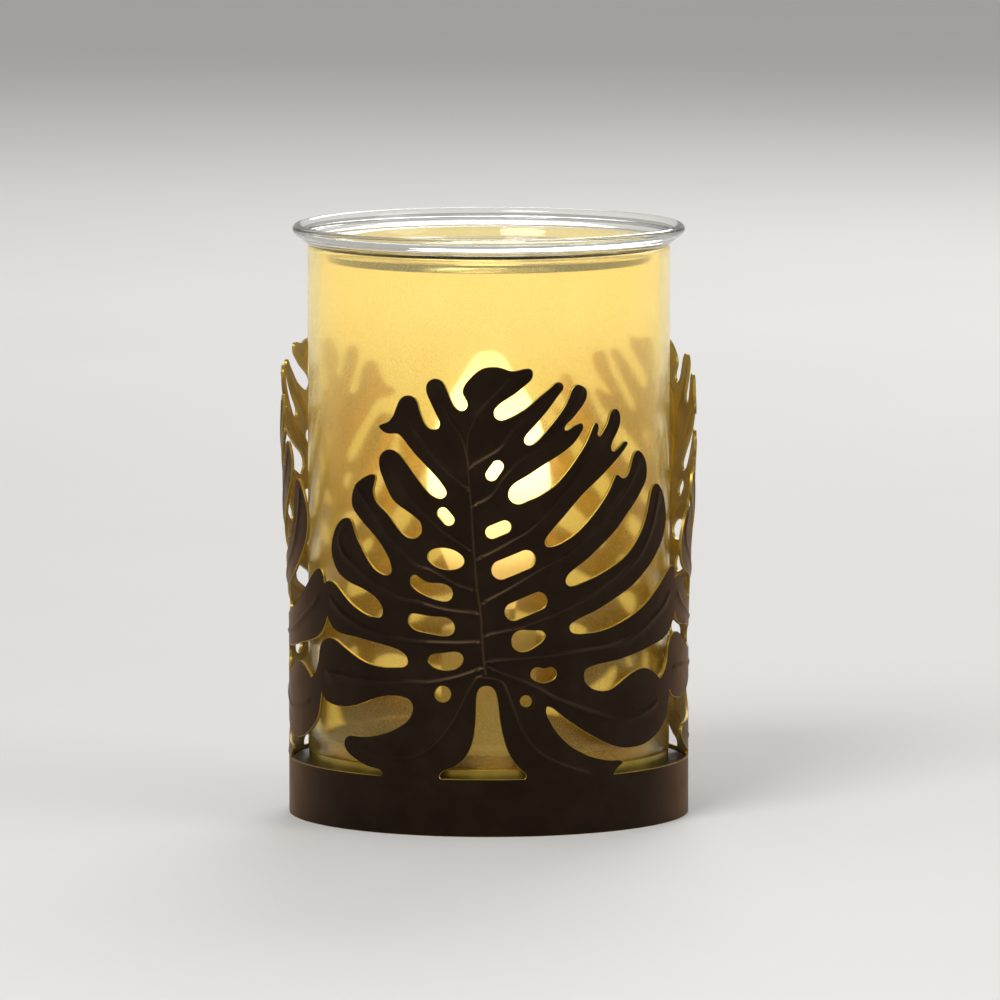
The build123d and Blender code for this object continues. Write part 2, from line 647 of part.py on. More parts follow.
def holder_core():
    """The inner insulator: a thick floor with a bore above it for the thread shell."""
    top = core_level + core_height
    core = revolved((0, core_level), (core_radius, core_level), (core_radius, top), (core_bore, top),
                    (core_bore, shell_level), (0, shell_level))
    core -= post(0, 0, rivet_radius + thread_clearance, shell_level - rivet_length, shell_level + overrun)
    for side in (1, -1):
        core -= side_bar(side, terminal_shank + thread_clearance, core_radius - terminal_length,
                         core_radius + overrun, core_level + terminal_height)
    return core


def holder_shell():
    """The thread shell that the bulb's cap turns in."""
    return ring(shell_radius - shell_wall, shell_radius, shell_level, shell_level + shell_height)


def centre_contact():
    """The bent spring under the bulb's tip, with the rivet that holds it."""
    low, high = shell_level, bulb_level - contact_gap
    bend = (high - low) / 2
    turn_x, middle = contact_reach - bend, (low + high) / 2
    inner_bend = bend - contact_sheet
    corners = ((-contact_reach, low), (turn_x, low), (turn_x, high), (-contact_reach, high),
               (-contact_reach, high - contact_sheet), (turn_x, high - contact_sheet),
               (turn_x, low + contact_sheet), (-contact_reach, low + contact_sheet))
    edges = [Line(corners[0], corners[1]),
             ThreePointArc(corners[1], (turn_x + bend, middle), corners[2]),
             Line(corners[2], corners[3]), Line(corners[3], corners[4]), Line(corners[4], corners[5]),
             ThreePointArc(corners[5], (turn_x + inner_bend, middle), corners[6]),
             Line(corners[6], corners[7]), Line(corners[7], corners[0])]
    strip = extrude(Plane.XZ * make_face(Wire(edges)), contact_width / 2, both=True)
    rivet = post(0, 0, rivet_radius, low - rivet_length, low)
    head_level = low + contact_sheet
    return strip + rivet + post(0, 0, rivet_head, head_level, head_level + rivet_head_height)


def terminal_screws():
    """The two screws for the conductors, in the sides of the core."""
    height = core_level + terminal_height
    screws = []
    for side in (1, -1):
        head = side_bar(side, terminal_head, core_radius, core_radius + terminal_head_length, height)
        end = core_radius - terminal_length
        screws.append(head + side_bar(side, terminal_shank, end, core_radius, height))
    return Compound(children=screws)


def holder_nipple():
    """The threaded tube that clamps the lampholder to the deck and lets the conductors through."""
    return ring(nipple_radius - nipple_wall, nipple_radius, nipple_level, nipple_level + nipple_length)


def nipple_washer():
    """The washer under the deck."""
    return ring(nipple_radius + nipple_clearance, washer_radius, washer_level, deck_under)


def nipple_nut():
    """The hexagon nut under the washer."""
    hexagon = RegularPolygon(nut_across / 2, 6, major_radius=False)
    nut = Pos(0, 0, washer_level - nut_height) * extrude(hexagon, nut_height)
    return nut - post(0, 0, nipple_radius + thread_clearance, 0, deck_height)


# Bulb


def bulb_tip():
    """The solder contact in the middle of the cap."""
    plate_top = bulb_level + bulb_tip_height
    plate = post(0, 0, bulb_tip_radius, bulb_level, plate_top)
    return plate + post(0, 0, bulb_tip_stem, plate_top, cap_level)


def bulb_insulator():
    """The glass insulator between the tip and the cap."""
    low, plug_top = bulb_level + bulb_tip_height, cap_level + bulb_insulator_plug_height
    hole = bulb_tip_stem + thread_clearance
    plug = bulb_cap_radius - bulb_cap_sheet
    return revolved((hole, low), (bulb_insulator_radius, low), (bulb_cap_radius, cap_level),
                    (plug, cap_level), (plug, plug_top), (hole, plug_top))


def bulb_cap():
    """The metal cap: a threaded wall, and a skirt that widens to hold the glass."""
    inner = bulb_cap_radius - bulb_cap_sheet
    return revolved((inner, cap_level), (bulb_cap_radius, cap_level), (bulb_cap_radius, cap_top),
                    (bulb_skirt_radius, skirt_top), (bulb_skirt_radius - bulb_cap_sheet, skirt_top),
                    (inner, cap_top))


def envelope_lines(wall):
    """The envelope's outline, moved inwards by a wall: neck, cone in the skirt, candle shape."""
    neck, radius = bulb_neck - wall, bulb_radius - wall
    mouth = bulb_skirt_radius - bulb_cap_sheet - bulb_neck_gap - wall
    above = bulb_level + bulb_length - skirt_top
    low = cap_top - bulb_neck_depth
    points = [(mouth, 0, skirt_top)]
    points += [(across * radius, 0, skirt_top + up * above) for across, up in envelope_shares]
    points.append((0, 0, skirt_top + above - wall))
    rise = (mouth - neck, 0, bulb_skirt_height)
    straight = Polyline((neck, 0, low), (neck, 0, cap_top), (mouth, 0, skirt_top))
    return [*straight.edges(), Spline(*points, tangents=(rise, (-1, 0, 0)))]


def bulb_glass():
    """The candle-shaped envelope, blown thin, with its neck inside the cap."""
    outside, inside = envelope_lines(0), envelope_lines(bulb_glass_wall)
    foot, tip = Line(outside[0] @ 0, inside[0] @ 0), Line(outside[-1] @ 1, inside[-1] @ 1)
    return revolved_edges(*outside, tip, *inside, foot)


def press_level():
    """Level of the flat press on top of the stem."""
    return cap_top - bulb_neck_depth + stem_length


def bulb_stem():
    """The glass stem: a foot in the neck, a slim tube and a flat press."""
    low = cap_top - bulb_neck_depth
    foot = bulb_neck - bulb_glass_wall - stem_clearance
    stem = post(0, 0, foot, low, low + stem_foot_height)
    stem += post(0, 0, stem_waist, low + stem_foot_height, press_level())
    press = Box(stem_press_width, stem_press_depth, stem_press_height,
                align=(Align.CENTER, Align.CENTER, Align.MAX))
    return stem + Pos(0, 0, press_level()) * press


def wire(start, end, radius):
    """A straight round wire."""
    start, end = Vector(*start), Vector(*end)
    plane = Plane(origin=start, z_dir=end - start)
    return extrude(plane * Circle(radius), (end - start).length)


def bulb_leads():
    """Two lead wires and one support wire that carry the filament."""
    low, high = press_level() + wire_radius, bulb_level + filament_height - 2 * wire_radius
    knee = low + (high - low) * lead_knee_share
    wires = []
    for x, y, radius in ((filament_radius, 0, wire_radius), (-filament_radius, 0, wire_radius),
                         (0, -filament_radius, support_radius)):
        share = lead_spacing / filament_radius
        foot, middle = (x * share, y * share, low), (x, y, knee)
        bent = wire(foot, middle, radius) + Pos(x, y, knee) * Sphere(radius)
        wires.append(bent + wire(middle, (x, y, high), radius))
    return Compound(children=wires)


def bulb_filament():
    """The coiled filament, hung in a half ring between the leads."""
    path = Pos(0, 0, bulb_level + filament_height) * CenterArc((0, 0), filament_radius, 180, 180)
    section = Plane(origin=path @ 0, z_dir=path % 0) * Circle(wire_radius)
    return sweep(section, path)


# Every piece and its file


def build():
    """Make and write every piece."""
    os.makedirs("parts", exist_ok=True)
    makers = (leaf_sleeve, base_pan, bottom_cover, cover_screws, feet, cord_grommet, seat_ring,
              heat_shield, shade_glass, melt_dish, holder_body, holder_core, holder_shell,
              centre_contact, terminal_screws, holder_nipple, nipple_washer, nipple_nut, bulb_tip,
              bulb_insulator, bulb_cap, bulb_glass, bulb_stem, bulb_leads, bulb_filament)
    for maker in makers:
        save(maker(), maker.__name__)


if __name__ == "__main__":
    build()
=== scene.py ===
import math
from collections import namedtuple

import bpy
import numpy as np
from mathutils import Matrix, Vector
from mathutils.geometry import delaunay_2d_cdt
from mathutils.kdtree import KDTree


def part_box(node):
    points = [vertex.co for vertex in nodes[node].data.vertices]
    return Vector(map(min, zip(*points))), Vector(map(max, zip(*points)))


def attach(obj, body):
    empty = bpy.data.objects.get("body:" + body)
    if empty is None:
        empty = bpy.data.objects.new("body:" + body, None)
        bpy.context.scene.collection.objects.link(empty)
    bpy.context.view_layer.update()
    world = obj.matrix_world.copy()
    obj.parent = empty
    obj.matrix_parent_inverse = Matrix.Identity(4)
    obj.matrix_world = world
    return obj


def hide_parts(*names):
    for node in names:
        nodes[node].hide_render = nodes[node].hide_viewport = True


# A lit wax melt warmer: pierced leaf sleeve, frosted glass cylinder, clear glass dish.
# Lengths are in metres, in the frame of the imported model.

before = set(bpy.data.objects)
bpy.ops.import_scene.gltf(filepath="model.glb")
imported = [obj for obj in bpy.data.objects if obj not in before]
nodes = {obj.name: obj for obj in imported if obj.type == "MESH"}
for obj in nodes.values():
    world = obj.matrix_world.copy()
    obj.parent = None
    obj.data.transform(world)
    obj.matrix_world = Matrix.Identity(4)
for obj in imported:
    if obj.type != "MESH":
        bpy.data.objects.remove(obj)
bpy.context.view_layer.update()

MM = 0.001
TURN = 2 * math.pi
LEAF_COUNT = 3
LEAF_PITCH = TURN / LEAF_COUNT
FRONT = -math.pi / 2

# Camera, at the photograph's viewing angle
camera_azimuth = math.radians(-6.5)
camera_elevation = math.radians(6.28)
camera_distance = 3.4
camera_aim_height = 89.1 * MM
camera_aim_right = 3.2 * MM
camera_view_width = 285.0 * MM
camera_sensor = 36.0
camera_far = 100

# Floor, surroundings and lamps; a lamp is its place, size and power
floor_half = 60.0
world_grey = 0.80
world_strength = 0.55
lamp_aim = (0, 0, 0.08)
lamps = {
    "key": ((-1.1, -1.6, 1.7), 1.3, 38),
    "fill": ((1.8, -1.2, 1.0), 1.4, 12),
    "back": ((0.6, 1.9, 1.4), 1.2, 18),
}

# Sizes that the sleeve's new surface shares with the model
sleeve_radius = 57.0 * MM
sleeve_sheet = 0.8 * MM
band_height = 16.3 * MM
leaf_top = 133.0 * MM
flare_width = 2.5 * MM
flare_foot_height = 50.03 * MM
flare_top_height = 110.01 * MM
junction_height = 69.4 * MM

# Painted glow in the cylinder's glass, standing in for the bulb's light in it: none at the low
# height, all of it at the high one
painted_glow_low = 50 * MM
painted_glow_high = 150 * MM

# The bulb's light falls off over this share of its envelope's height
bulb_glow_share = 0.36

# Plain metals: colour, roughness, grain
metals = {
    "screw_steel": ((0.56, 0.55, 0.52), 0.28, 700),
    "shield_aluminium": ((0.86, 0.86, 0.85), 0.22, 500),
    "contact_brass": ((0.80, 0.60, 0.27), 0.25, 700),
    "nipple_steel": ((0.60, 0.58, 0.52), 0.3, 700),
    "tip_solder": ((0.62, 0.62, 0.62), 0.35, 700),
    "cap_nickel": ((0.72, 0.70, 0.64), 0.2, 700),
    "lead_wire": ((0.62, 0.60, 0.56), 0.3, 700),
    "filament_wire": ((0.35, 0.34, 0.33), 0.4, 700),
}

# Plain plastics, rubbers and ceramics: colour, roughness, grain, its depth, how much it varies
matters = {
    "base_paint": ((0.022, 0.014, 0.009), 0.42, 900, 0.02 * MM, 0.12),
    "cover_plastic": ((0.028, 0.026, 0.025), 0.55, 1500, 0.04 * MM, 0.12),
    "foot_rubber": ((0.022, 0.021, 0.020), 0.85, 900, 0.05 * MM, 0.12),
    "grommet_rubber": ((0.030, 0.027, 0.025), 0.6, 900, 0.03 * MM, 0.12),
    "holder_plastic": ((0.76, 0.73, 0.66), 0.5, 1200, 0.03 * MM, 0.06),
    "core_ceramic": ((0.80, 0.77, 0.70), 0.35, 1500, 0.02 * MM, 0.05),
    "insulator_glass": ((0.03, 0.026, 0.03), 0.12, 300, 0.01 * MM, 0.12),
}


def smooth_share(x):
    """0 to 1 with an easy start and end."""
    x = np.clip(x, 0, 1)
    return x * x * (3 - 2 * x)


def wrapped(angle, turn=TURN):
    """An angle brought to within half a turn of 0."""
    return (angle + turn / 2) % turn - turn / 2


def radius_at(height):
    """Outside radius of the sleeve at a height."""
    rise = (height - flare_foot_height) / (flare_top_height - flare_foot_height)
    return sleeve_radius + flare_width * smooth_share(rise)


# Materials

# Sockets of the colour mix, which share their names with the other kinds of mix
MIX_SHARE, MIX_FIRST, MIX_SECOND, MIX_RESULT = 0, 6, 7, 2


def material(name):
    """A new material, its tree and its Principled shader."""
    made = bpy.data.materials.new(name)
    made.use_nodes = True
    tree = made.node_tree
    shader = next(n for n in tree.nodes if n.type == "BSDF_PRINCIPLED")
    return made, tree, shader


def set_values(shader, values):
    """Set the shader's sockets that are the same everywhere."""
    for socket, value in values.items():
        shader.inputs[socket].default_value = value


def node(tree, kind, **settings):
    """A new node with its settings; sockets are given as numbers in a dict named inputs."""
    made = tree.nodes.new(kind)
    for socket, value in settings.pop("inputs", {}).items():
        made.inputs[socket].default_value = value
    for key, value in settings.items():
        setattr(made, key, value)
    return made


def link(tree, source, target):
    """Join an output socket to an input socket."""
    tree.links.new(source, target)


def noise(tree, scale, detail=3.0, roughness=0.5, stretch=(1, 1, 1)):
    """Noise in the object's own space; the scale is in features per metre."""
    place = node(tree, "ShaderNodeTexCoord")
    mapping = node(tree, "ShaderNodeMapping", inputs={"Scale": stretch})
    made = node(tree, "ShaderNodeTexNoise",
                inputs={"Scale": scale, "Detail": detail, "Roughness": roughness})
    link(tree, place.outputs["Object"], mapping.inputs["Vector"])
    link(tree, mapping.outputs["Vector"], made.inputs["Vector"])
    return made.outputs["Fac"]


def height_in(tree):
    """The height in the object's own space."""
    place = node(tree, "ShaderNodeTexCoord")
    apart = node(tree, "ShaderNodeSeparateXYZ")
    link(tree, place.outputs["Object"], apart.inputs["Vector"])
    return apart.outputs["Z"]


def ramp(tree, source, stops):
    """A colour ramp over a value: stops are (place, colour)."""
    made = node(tree, "ShaderNodeValToRGB")
    elements = made.color_ramp.elements
    while len(elements) < len(stops):
        elements.new(0.5)
    for element, (place, colour) in zip(elements, stops):
        element.position = place
        element.color = (*colour, 1)
    link(tree, source, made.inputs["Fac"])
    return made.outputs["Color"]


def span(tree, source, low, high, to_low, to_high):
    """Map a value from one span to another, held inside it."""
    made = node(tree, "ShaderNodeMapRange",
                inputs={"From Min": low, "From Max": high, "To Min": to_low, "To Max": to_high})
    link(tree, source, made.inputs["Value"])
    return made.outputs["Result"]


def mix(tree, share, first, second):
    """Mix two colours by a value; a colour is a socket or three numbers."""
    made = node(tree, "ShaderNodeMix", data_type="RGBA")
    for number, value in ((MIX_FIRST, first), (MIX_SECOND, second)):
        if isinstance(value, tuple):
            made.inputs[number].default_value = (*value, 1)
        else:
            link(tree, value, made.inputs[number])
    link(tree, share, made.inputs[MIX_SHARE])
    return made.outputs[MIX_RESULT]


def bump(tree, shader, source, distance, strength):
    """Fine unevenness of a surface, its height given in metres."""
    made = node(tree, "ShaderNodeBump", inputs={"Strength": strength, "Distance": distance})
    link(tree, source, made.inputs["Height"])
    link(tree, made.outputs["Normal"], shader.inputs["Normal"])


def attribute(tree, name):
    """A value stored on the mesh's points."""
    return node(tree, "ShaderNodeAttribute", attribute_name=name).outputs["Fac"]


def shades(colour, darker, lighter):
    """A colour made darker and lighter by factors."""
    return tuple(c * darker for c in colour), tuple(min(c * lighter, 1) for c in colour)


def bronze_paint():
    """The sleeve's outside: near-black bronze paint, lighter on the veins' crests, which is partly
    rub wear and partly a painted highlight.
    """
    made, tree, shader = material("bronze_paint")
    clouds = noise(tree, 90, detail=5.0, roughness=0.6)
    fine = noise(tree, 900, detail=3.0, roughness=0.6)
    base = ramp(tree, clouds, ((0.32, (0.006, 0.0038, 0.0024)), (0.5, (0.009, 0.0056, 0.0035)),
                               (0.7, (0.014, 0.009, 0.0055))))
    # Lighter colour on the vein crests: partly rub wear, partly a painted highlight
    rub_and_highlight = span(tree, attribute(tree, "relief"), 0.5, 1.0, 0.0, 0.5)
    base = mix(tree, rub_and_highlight, base, (0.10, 0.06, 0.03))
    link(tree, base, shader.inputs["Base Color"])
    link(tree, span(tree, clouds, 0.3, 0.7, 0.32, 0.42), shader.inputs["Roughness"])
    set_values(shader, {"Metallic": 0.6, "Specular IOR Level": 0.32,
                        "Specular Tint": (1.0, 0.64, 0.38, 1)})
    bump(tree, shader, fine, distance=0.02 * MM, strength=0.5)
    return made


def gold_paint():
    """The sleeve's inside, its cut edges and the seat ring: satin gold, brushed round."""
    made, tree, shader = material("gold_paint")
    clouds = noise(tree, 120, detail=4.0, roughness=0.55)
    fine = noise(tree, 1400, detail=2.0, roughness=0.5)
    fine_share = 0.12
    base = ramp(tree, clouds, ((0.3, (0.29, 0.20, 0.024)), (0.5, (0.37, 0.255, 0.037)),
                               (0.7, (0.47, 0.335, 0.064))))
    link(tree, base, shader.inputs["Base Color"])
    link(tree, span(tree, clouds, 0.3, 0.7, 0.30, 0.42), shader.inputs["Roughness"])
    set_values(shader, {"Metallic": 0.85})
    brushed = noise(tree, 260, detail=4.0, roughness=0.65, stretch=(1, 1, 0.18))
    uneven = node(tree, "ShaderNodeMath", operation="MULTIPLY_ADD", inputs={1: fine_share})
    link(tree, fine, uneven.inputs[0])
    link(tree, brushed, uneven.inputs[2])
    bump(tree, shader, uneven.outputs["Value"], distance=0.12 * MM, strength=0.5)
    return made


def plain_metal(name, colour, roughness, grain):
    """A machined or pressed metal with a little grain."""
    made, tree, shader = material(name)
    fine = noise(tree, grain, detail=3.0, roughness=0.55)
    dark, light = shades(colour, darker=0.86, lighter=1.12)
    link(tree, ramp(tree, fine, ((0.3, dark), (0.7, light))), shader.inputs["Base Color"])
    link(tree, span(tree, fine, 0.3, 0.7, roughness * 0.85, roughness * 1.2),
         shader.inputs["Roughness"])
    set_values(shader, {"Metallic": 1.0})
    bump(tree, shader, fine, distance=0.015 * MM, strength=0.35)
    return made


def plain_matter(name, colour, roughness, grain, depth, vary):
    """A moulded plastic, rubber or ceramic with fine grain."""
    made, tree, shader = material(name)
    clouds = noise(tree, grain / 8, detail=4.0, roughness=0.6)
    fine = noise(tree, grain, detail=3.0, roughness=0.6)
    dark, light = shades(colour, darker=1 - vary, lighter=1 + vary)
    link(tree, ramp(tree, clouds, ((0.3, dark), (0.7, light))), shader.inputs["Base Color"])
    link(tree, span(tree, clouds, 0.3, 0.7, roughness * 0.9, min(roughness * 1.1, 1)),
         shader.inputs["Roughness"])
    bump(tree, shader, fine, distance=depth, strength=0.5)
    return made


def warm_glass(name, smooth, frosted):
    """The cylinder's glass, with a painted warm tint that stands in for the bulb's warm light in
    it, and a painted glow that is brighter towards the top. Grains of it are frosted.
    """
    made, tree, shader = material(name)
    clouds = noise(tree, 60, detail=4.0, roughness=0.5)
    fine = noise(tree, 9000, detail=1.0, roughness=0.5)
    # Painted light: the warm yellow tint stands in for the bulb's warm light passing through the
    # glass
    base = ramp(tree, clouds, ((0.3, (1.0, 0.81, 0.34)), (0.7, (1.0, 0.84, 0.40))))
    link(tree, base, shader.inputs["Base Color"])
    link(tree, span(tree, fine, 0.56, 0.66, smooth, frosted), shader.inputs["Roughness"])
    # Painted glow: the glass gives off light of its own, brighter towards the top, for the bulb's
    # light in it
    glow = span(tree, height_in(tree), painted_glow_low, painted_glow_high, 0.0, 1.0)
    link(tree, ramp(tree, glow, ((0.0, (0.02, 0.012, 0.0)), (0.6, (0.26, 0.19, 0.04)),
                                 (1.0, (1.0, 0.86, 0.50)))), shader.inputs["Emission Color"])
    set_values(shader, {"Transmission Weight": 0.95, "IOR": 1.25, "Emission Strength": 0.10,
                        "Subsurface Weight": 1.0, "Subsurface Radius": (1.0, 0.85, 0.5),
                        "Subsurface Scale": 6.0 * MM})
    bump(tree, shader, clouds, distance=0.05 * MM, strength=0.2)
    return made


def clear_glass():
    """The dish's glass: clear, faintly warm, with slight unevenness from pressing."""
    made, tree, shader = material("clear_glass")
    wave = noise(tree, 45, detail=2.0, roughness=0.4)
    link(tree, ramp(tree, wave, ((0.3, (0.94, 0.94, 0.90)), (0.7, (0.97, 0.97, 0.94)))),
         shader.inputs["Base Color"])
    set_values(shader, {"Roughness": 0.02, "Transmission Weight": 1.0, "IOR": 1.5})
    bump(tree, shader, wave, distance=0.25 * MM, strength=0.12)
    return made


def stem_glass():
    """The glass of the bulb's stem."""
    made, tree, shader = material("stem_glass")
    grain = noise(tree, 200)
    link(tree, ramp(tree, grain, ((0.3, (0.80, 0.86, 0.82)), (0.7, (0.90, 0.93, 0.90)))),
         shader.inputs["Base Color"])
    set_values(shader, {"Roughness": 0.08, "Transmission Weight": 0.9, "IOR": 1.5})
    return made


def bulb_frost():
    """The lit bulb's pearl envelope: brightest two thirds up, where the filament is."""
    made, tree, shader = material("bulb_frost")
    low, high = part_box("bulb_glass")
    brightest = (low.z + 2 * high.z) / 3
    away = node(tree, "ShaderNodeMath", operation="SUBTRACT", inputs={1: brightest})
    link(tree, height_in(tree), away.inputs[0])
    distance = node(tree, "ShaderNodeMath", operation="ABSOLUTE")
    link(tree, away.outputs["Value"], distance.inputs[0])
    reach = (high.z - low.z) * bulb_glow_share
    glow = span(tree, distance.outputs["Value"], 0.0, reach, 1.0, 0.06)
    colour = ramp(tree, glow, ((0.0, (0.12, 0.08, 0.04)), (0.35, (0.50, 0.42, 0.31)),
                               (1.0, (1.0, 0.95, 0.86))))
    link(tree, colour, shader.inputs["Emission Color"])
    link(tree, span(tree, noise(tree, 800), 0.3, 0.7, 0.4, 0.5), shader.inputs["Roughness"])
    set_values(shader, {"Emission Strength": 3.3, "Base Color": (0.93, 0.91, 0.86, 1)})
    return made


def make_materials():
    """Every material by the name of its slot."""
    made = {
        "bronze_paint": bronze_paint(),
        "gold_paint": gold_paint(),
        "frosted_glass": warm_glass("frosted_glass", smooth=0.14, frosted=0.65),
        "inner_glass": warm_glass("inner_glass", smooth=0.04, frosted=0.05),
        "clear_glass": clear_glass(),
        "stem_glass": stem_glass(),
        "bulb_frost": bulb_frost(),
    }
    for name, values in metals.items():
        made[name] = plain_metal(name, *values)
    for name, values in matters.items():
        made[name] = plain_matter(name, *values)
    return made


materials = make_materials()


def dress(piece, slot):
    """Give a piece the material of a slot."""
    piece.data.materials.clear()
    piece.data.materials.append(materials[slot])


def add_object(name, mesh, sharp):
    """An object of a mesh, smooth but for edges over an angle in degrees."""
    mesh.polygons.foreach_set("use_smooth", np.ones(len(mesh.polygons), bool))
    mesh.set_sharp_from_angle(angle=math.radians(sharp))
    made = bpy.data.objects.new(name, mesh)
    bpy.context.scene.collection.objects.link(made)
    return made


# The sleeve's new surface

# The veins of one leaf in shares: across, of half the pitch of the leaves, and up, of the
# leaf's height above the band. Each runs outwards from the middle. The points were read
# from the photograph and turned into shares.
midrib_shares = (
    (-.121, .2556), (-.1298, .2846), (-.1386, .3497), (-.1439, .3999), (-.1608, .4637),
    (-.1734, .5325), (-.1829, .5978), (-.1915, .665), (-.2067, .7511), (-.2097, .8228),
    (-.1999, .8467), (-.1669, .8805), (-.1101, .9143), (-.0737, .9322), (-.0062, .9684),
)
vein_shares = (
    ((-.2067, .7605), (-.2349, .8224), (-.2863, .8604), (-.3086, .8805), (-.3464, .9228),
     (-.362, .9461)),
    ((-.1999, .7536), (-.1319, .7746), (-.0543, .8005), (.004, .8404), (.0913, .8834),
     (.1881, .9325), (.2219, .9486)),
    ((-.1895, .6613), (-.1313, .6733), (-.0867, .6915), (-.0346, .7306), (.0429, .7706),
     (.1398, .8007), (.2365, .8459), (.3136, .911), (.3425, .9312)),
    ((-.1646, .5316), (-.0967, .5467), (.005, .5765), (.0902, .6031), (.1895, .6525),
     (.2855, .7089), (.3621, .7573), (.429, .7917), (.4862, .837), (.5194, .8721)),
    ((-.1467, .4208), (-.0838, .439), (.0065, .4651), (.0947, .4923), (.177, .5165),
     (.2592, .5348), (.3363, .562), (.432, .6026), (.5265, .6564), (.6107, .7022), (.6704, .7529)),
    ((-.1357, .3454), (-.0502, .3544), (.0655, .3694), (.1944, .3921), (.2916, .4116),
     (.3882, .4308), (.5322, .4712), (.6746, .5221), (.7568, .5763), (.804, .6325), (.8226, .6682)),
    ((-.1298, .2832), (.008, .2892), (.1813, .295), (.3538, .3018), (.4919, .3065), (.5904, .3174),
     (.6982, .3384), (.8101, .3686), (.8875, .3914), (.9377, .4171)),
    ((-.1067, .2711), (-.0501, .2571), (.0386, .239), (.1233, .2178), (.2101, .1907),
     (.2949, .1729), (.3838, .1551), (.4431, .1458), (.5262, .1314), (.6074, .1281),
     (.7006, .1357), (.7801, .1473), (.8338, .1591)),
    ((-.1121, .2451), (-.0609, .2391), (-.0323, .221), (.0026, .1733), (.0425, .1196),
     (.0978, .0745), (.1816, .0416), (.2951, .0176), (.3841, .0032)),
    ((-.1996, .7005), (-.2789, .7307), (-.3358, .7567), (-.394, .7869), (-.4423, .8199),
     (-.4905, .847), (-.5042, .873), (-.5063, .8965)),
    ((-.198, .5558), (-.2614, .5765), (-.3248, .5971), (-.3931, .6274), (-.4417, .6466),
     (-.5048, .6769), (-.5619, .7192), (-.5773, .7399), (-.5954, .7658)),
    ((-.1695, .4566), (-.2495, .4681), (-.3061, .4833), (-.3919, .5045), (-.4473, .5105),
     (-.5038, .5318), (-.5864, .5732), (-.6444, .6107), (-.7116, .6563), (-.7734, .6919),
     (-.787, .707), (-.7351, .7221)),
    ((-.1522, .4007), (-.2499, .4037), (-.3339, .4097), (-.4488, .4239), (-.5383, .4299),
     (-.6151, .448), (-.6733, .4652), (-.8429, .5231), (-.8704, .5354), (-.8958, .5683),
     (-.8657, .5979)),
    ((-.1524, .3309), (-.2508, .3278), (-.3944, .3277), (-.4928, .3291), (-.5655, .3351),
     (-.6344, .339), (-.7382, .3539), (-.8286, .372), (-.8902, .3871), (-.9556, .4147)),
    ((-.1357, .2681), (-.1978, .2551), (-.2795, .242), (-.3948, .2299), (-.4934, .2297),
     (-.5921, .2251), (-.681, .2263), (-.7997, .2289), (-.8839, .2332), (-.9713, .2344),
     (-1.0531, .2358)),
    ((-.1298, .2451), (-.156, .2463), (-.1947, .2194), (-.2324, .1806), (-.2715, .1417),
     (-.3307, .0998), (-.4086, .0629), (-.5126, .0436), (-.6364, .0459), (-.7404, .0581)),
)

# Relief of the veins: their heights, how much lower they end, and the widths of their sides.
# The share of it that shows on the inside is the emboss share.
vein_height = 0.5 * MM
vein_fade_share = 0.4
vein_gentle = 1.25 * MM
vein_steep = 0.5 * MM
midrib_height = 0.44 * MM
midrib_half = 1.1 * MM
emboss_share = 0.8

# Points of the new surface: steps along a vein, rows beside it in shares of its widths, an even
# grid elsewhere, and the gaps that rows and grid keep
vein_step = 0.9 * MM
curve_steps = 12
vein_row_shares = (-1.35, -0.95, -0.5, 0.0, 0.3, 0.65, 1.0, 1.3)
vein_row_gap = 0.28 * MM
rim_gap = 0.45 * MM
outer_grid = 1.5 * MM
grid_gap_share = 0.62
grid_rim_share = 1.5

# The new surface sinks this far where the sleeve flares, so that the veins stay in the model's box
flare_sink = 0.3 * MM
edge_chamfer = 0.11 * MM
sleeve_sharp = 38

# Tolerances for reading the model's mesh, and the triangulation's kind and closeness
same_place = 0.001 * MM
outer_tolerance = 0.02 * MM
hull_triangles = 0
flat_epsilon = 1e-7


def leaf_point(across, up):
    """A point given in shares, unrolled: how far round from the leaf's middle, and how high."""
    height = band_height + up * (leaf_top - band_height)
    narrowing = 1.0
    if height > junction_height and abs(across) < 1:
        narrowing = radius_at(junction_height) / radius_at(height)
    return np.array((across * LEAF_PITCH / 2 * narrowing * radius_at(height), height))


def smooth_line(points, step):
    """Even steps along a smooth curve through points."""
    points = np.array(points, float)
    padded = np.vstack((2 * points[0] - points[1], points, 2 * points[-1] - points[-2]))
    shares = np.linspace(0, 1, curve_steps, endpoint=False)[:, None]
    dense = []
    for a, b, c, d in zip(padded, padded[1:], padded[2:], padded[3:]):
        dense.append(0.5 * (2 * b + (c - a) * shares + (2 * a - 5 * b + 4 * c - d) * shares ** 2
                            + (3 * b - a - 3 * c + d) * shares ** 3))
    dense = np.vstack((*dense, points[-1:]))
    run = np.concatenate(((0,), np.cumsum(np.linalg.norm(np.diff(dense, axis=0), axis=1))))
    count = max(int(run[-1] / step), 2)
    even = np.linspace(0, run[-1], count + 1)
    return np.column_stack([np.interp(even, run, dense[:, i]) for i in (0, 1)])


def line_sides(line):
    """Unit normals of a line, turned to the side that lies higher on the leaf."""
    along = np.gradient(line, axis=0)
    along /= np.linalg.norm(along, axis=1)[:, None]
    normal = np.column_stack((-along[:, 1], along[:, 0]))
    if normal[:, 1].mean() < 0:
        normal = -normal
    return normal


def leaf_lines():
    """Every vein as (line, height along it, width on the gentle side, width on the steep side)."""
    middle = smooth_line([leaf_point(*p) for p in midrib_shares], vein_step)
    along = np.linspace(0, 1, len(middle))
    heights = midrib_height * (1 - vein_fade_share * along ** 2)
    lines = [(middle, heights, midrib_half, midrib_half)]
    for shares in vein_shares:
        line = smooth_line([leaf_point(*p) for p in shares], vein_step)
        heights = vein_height * (1 - vein_fade_share * np.linspace(0, 1, len(line)))
        lines.append((line, heights, vein_gentle, vein_steep))
    return lines


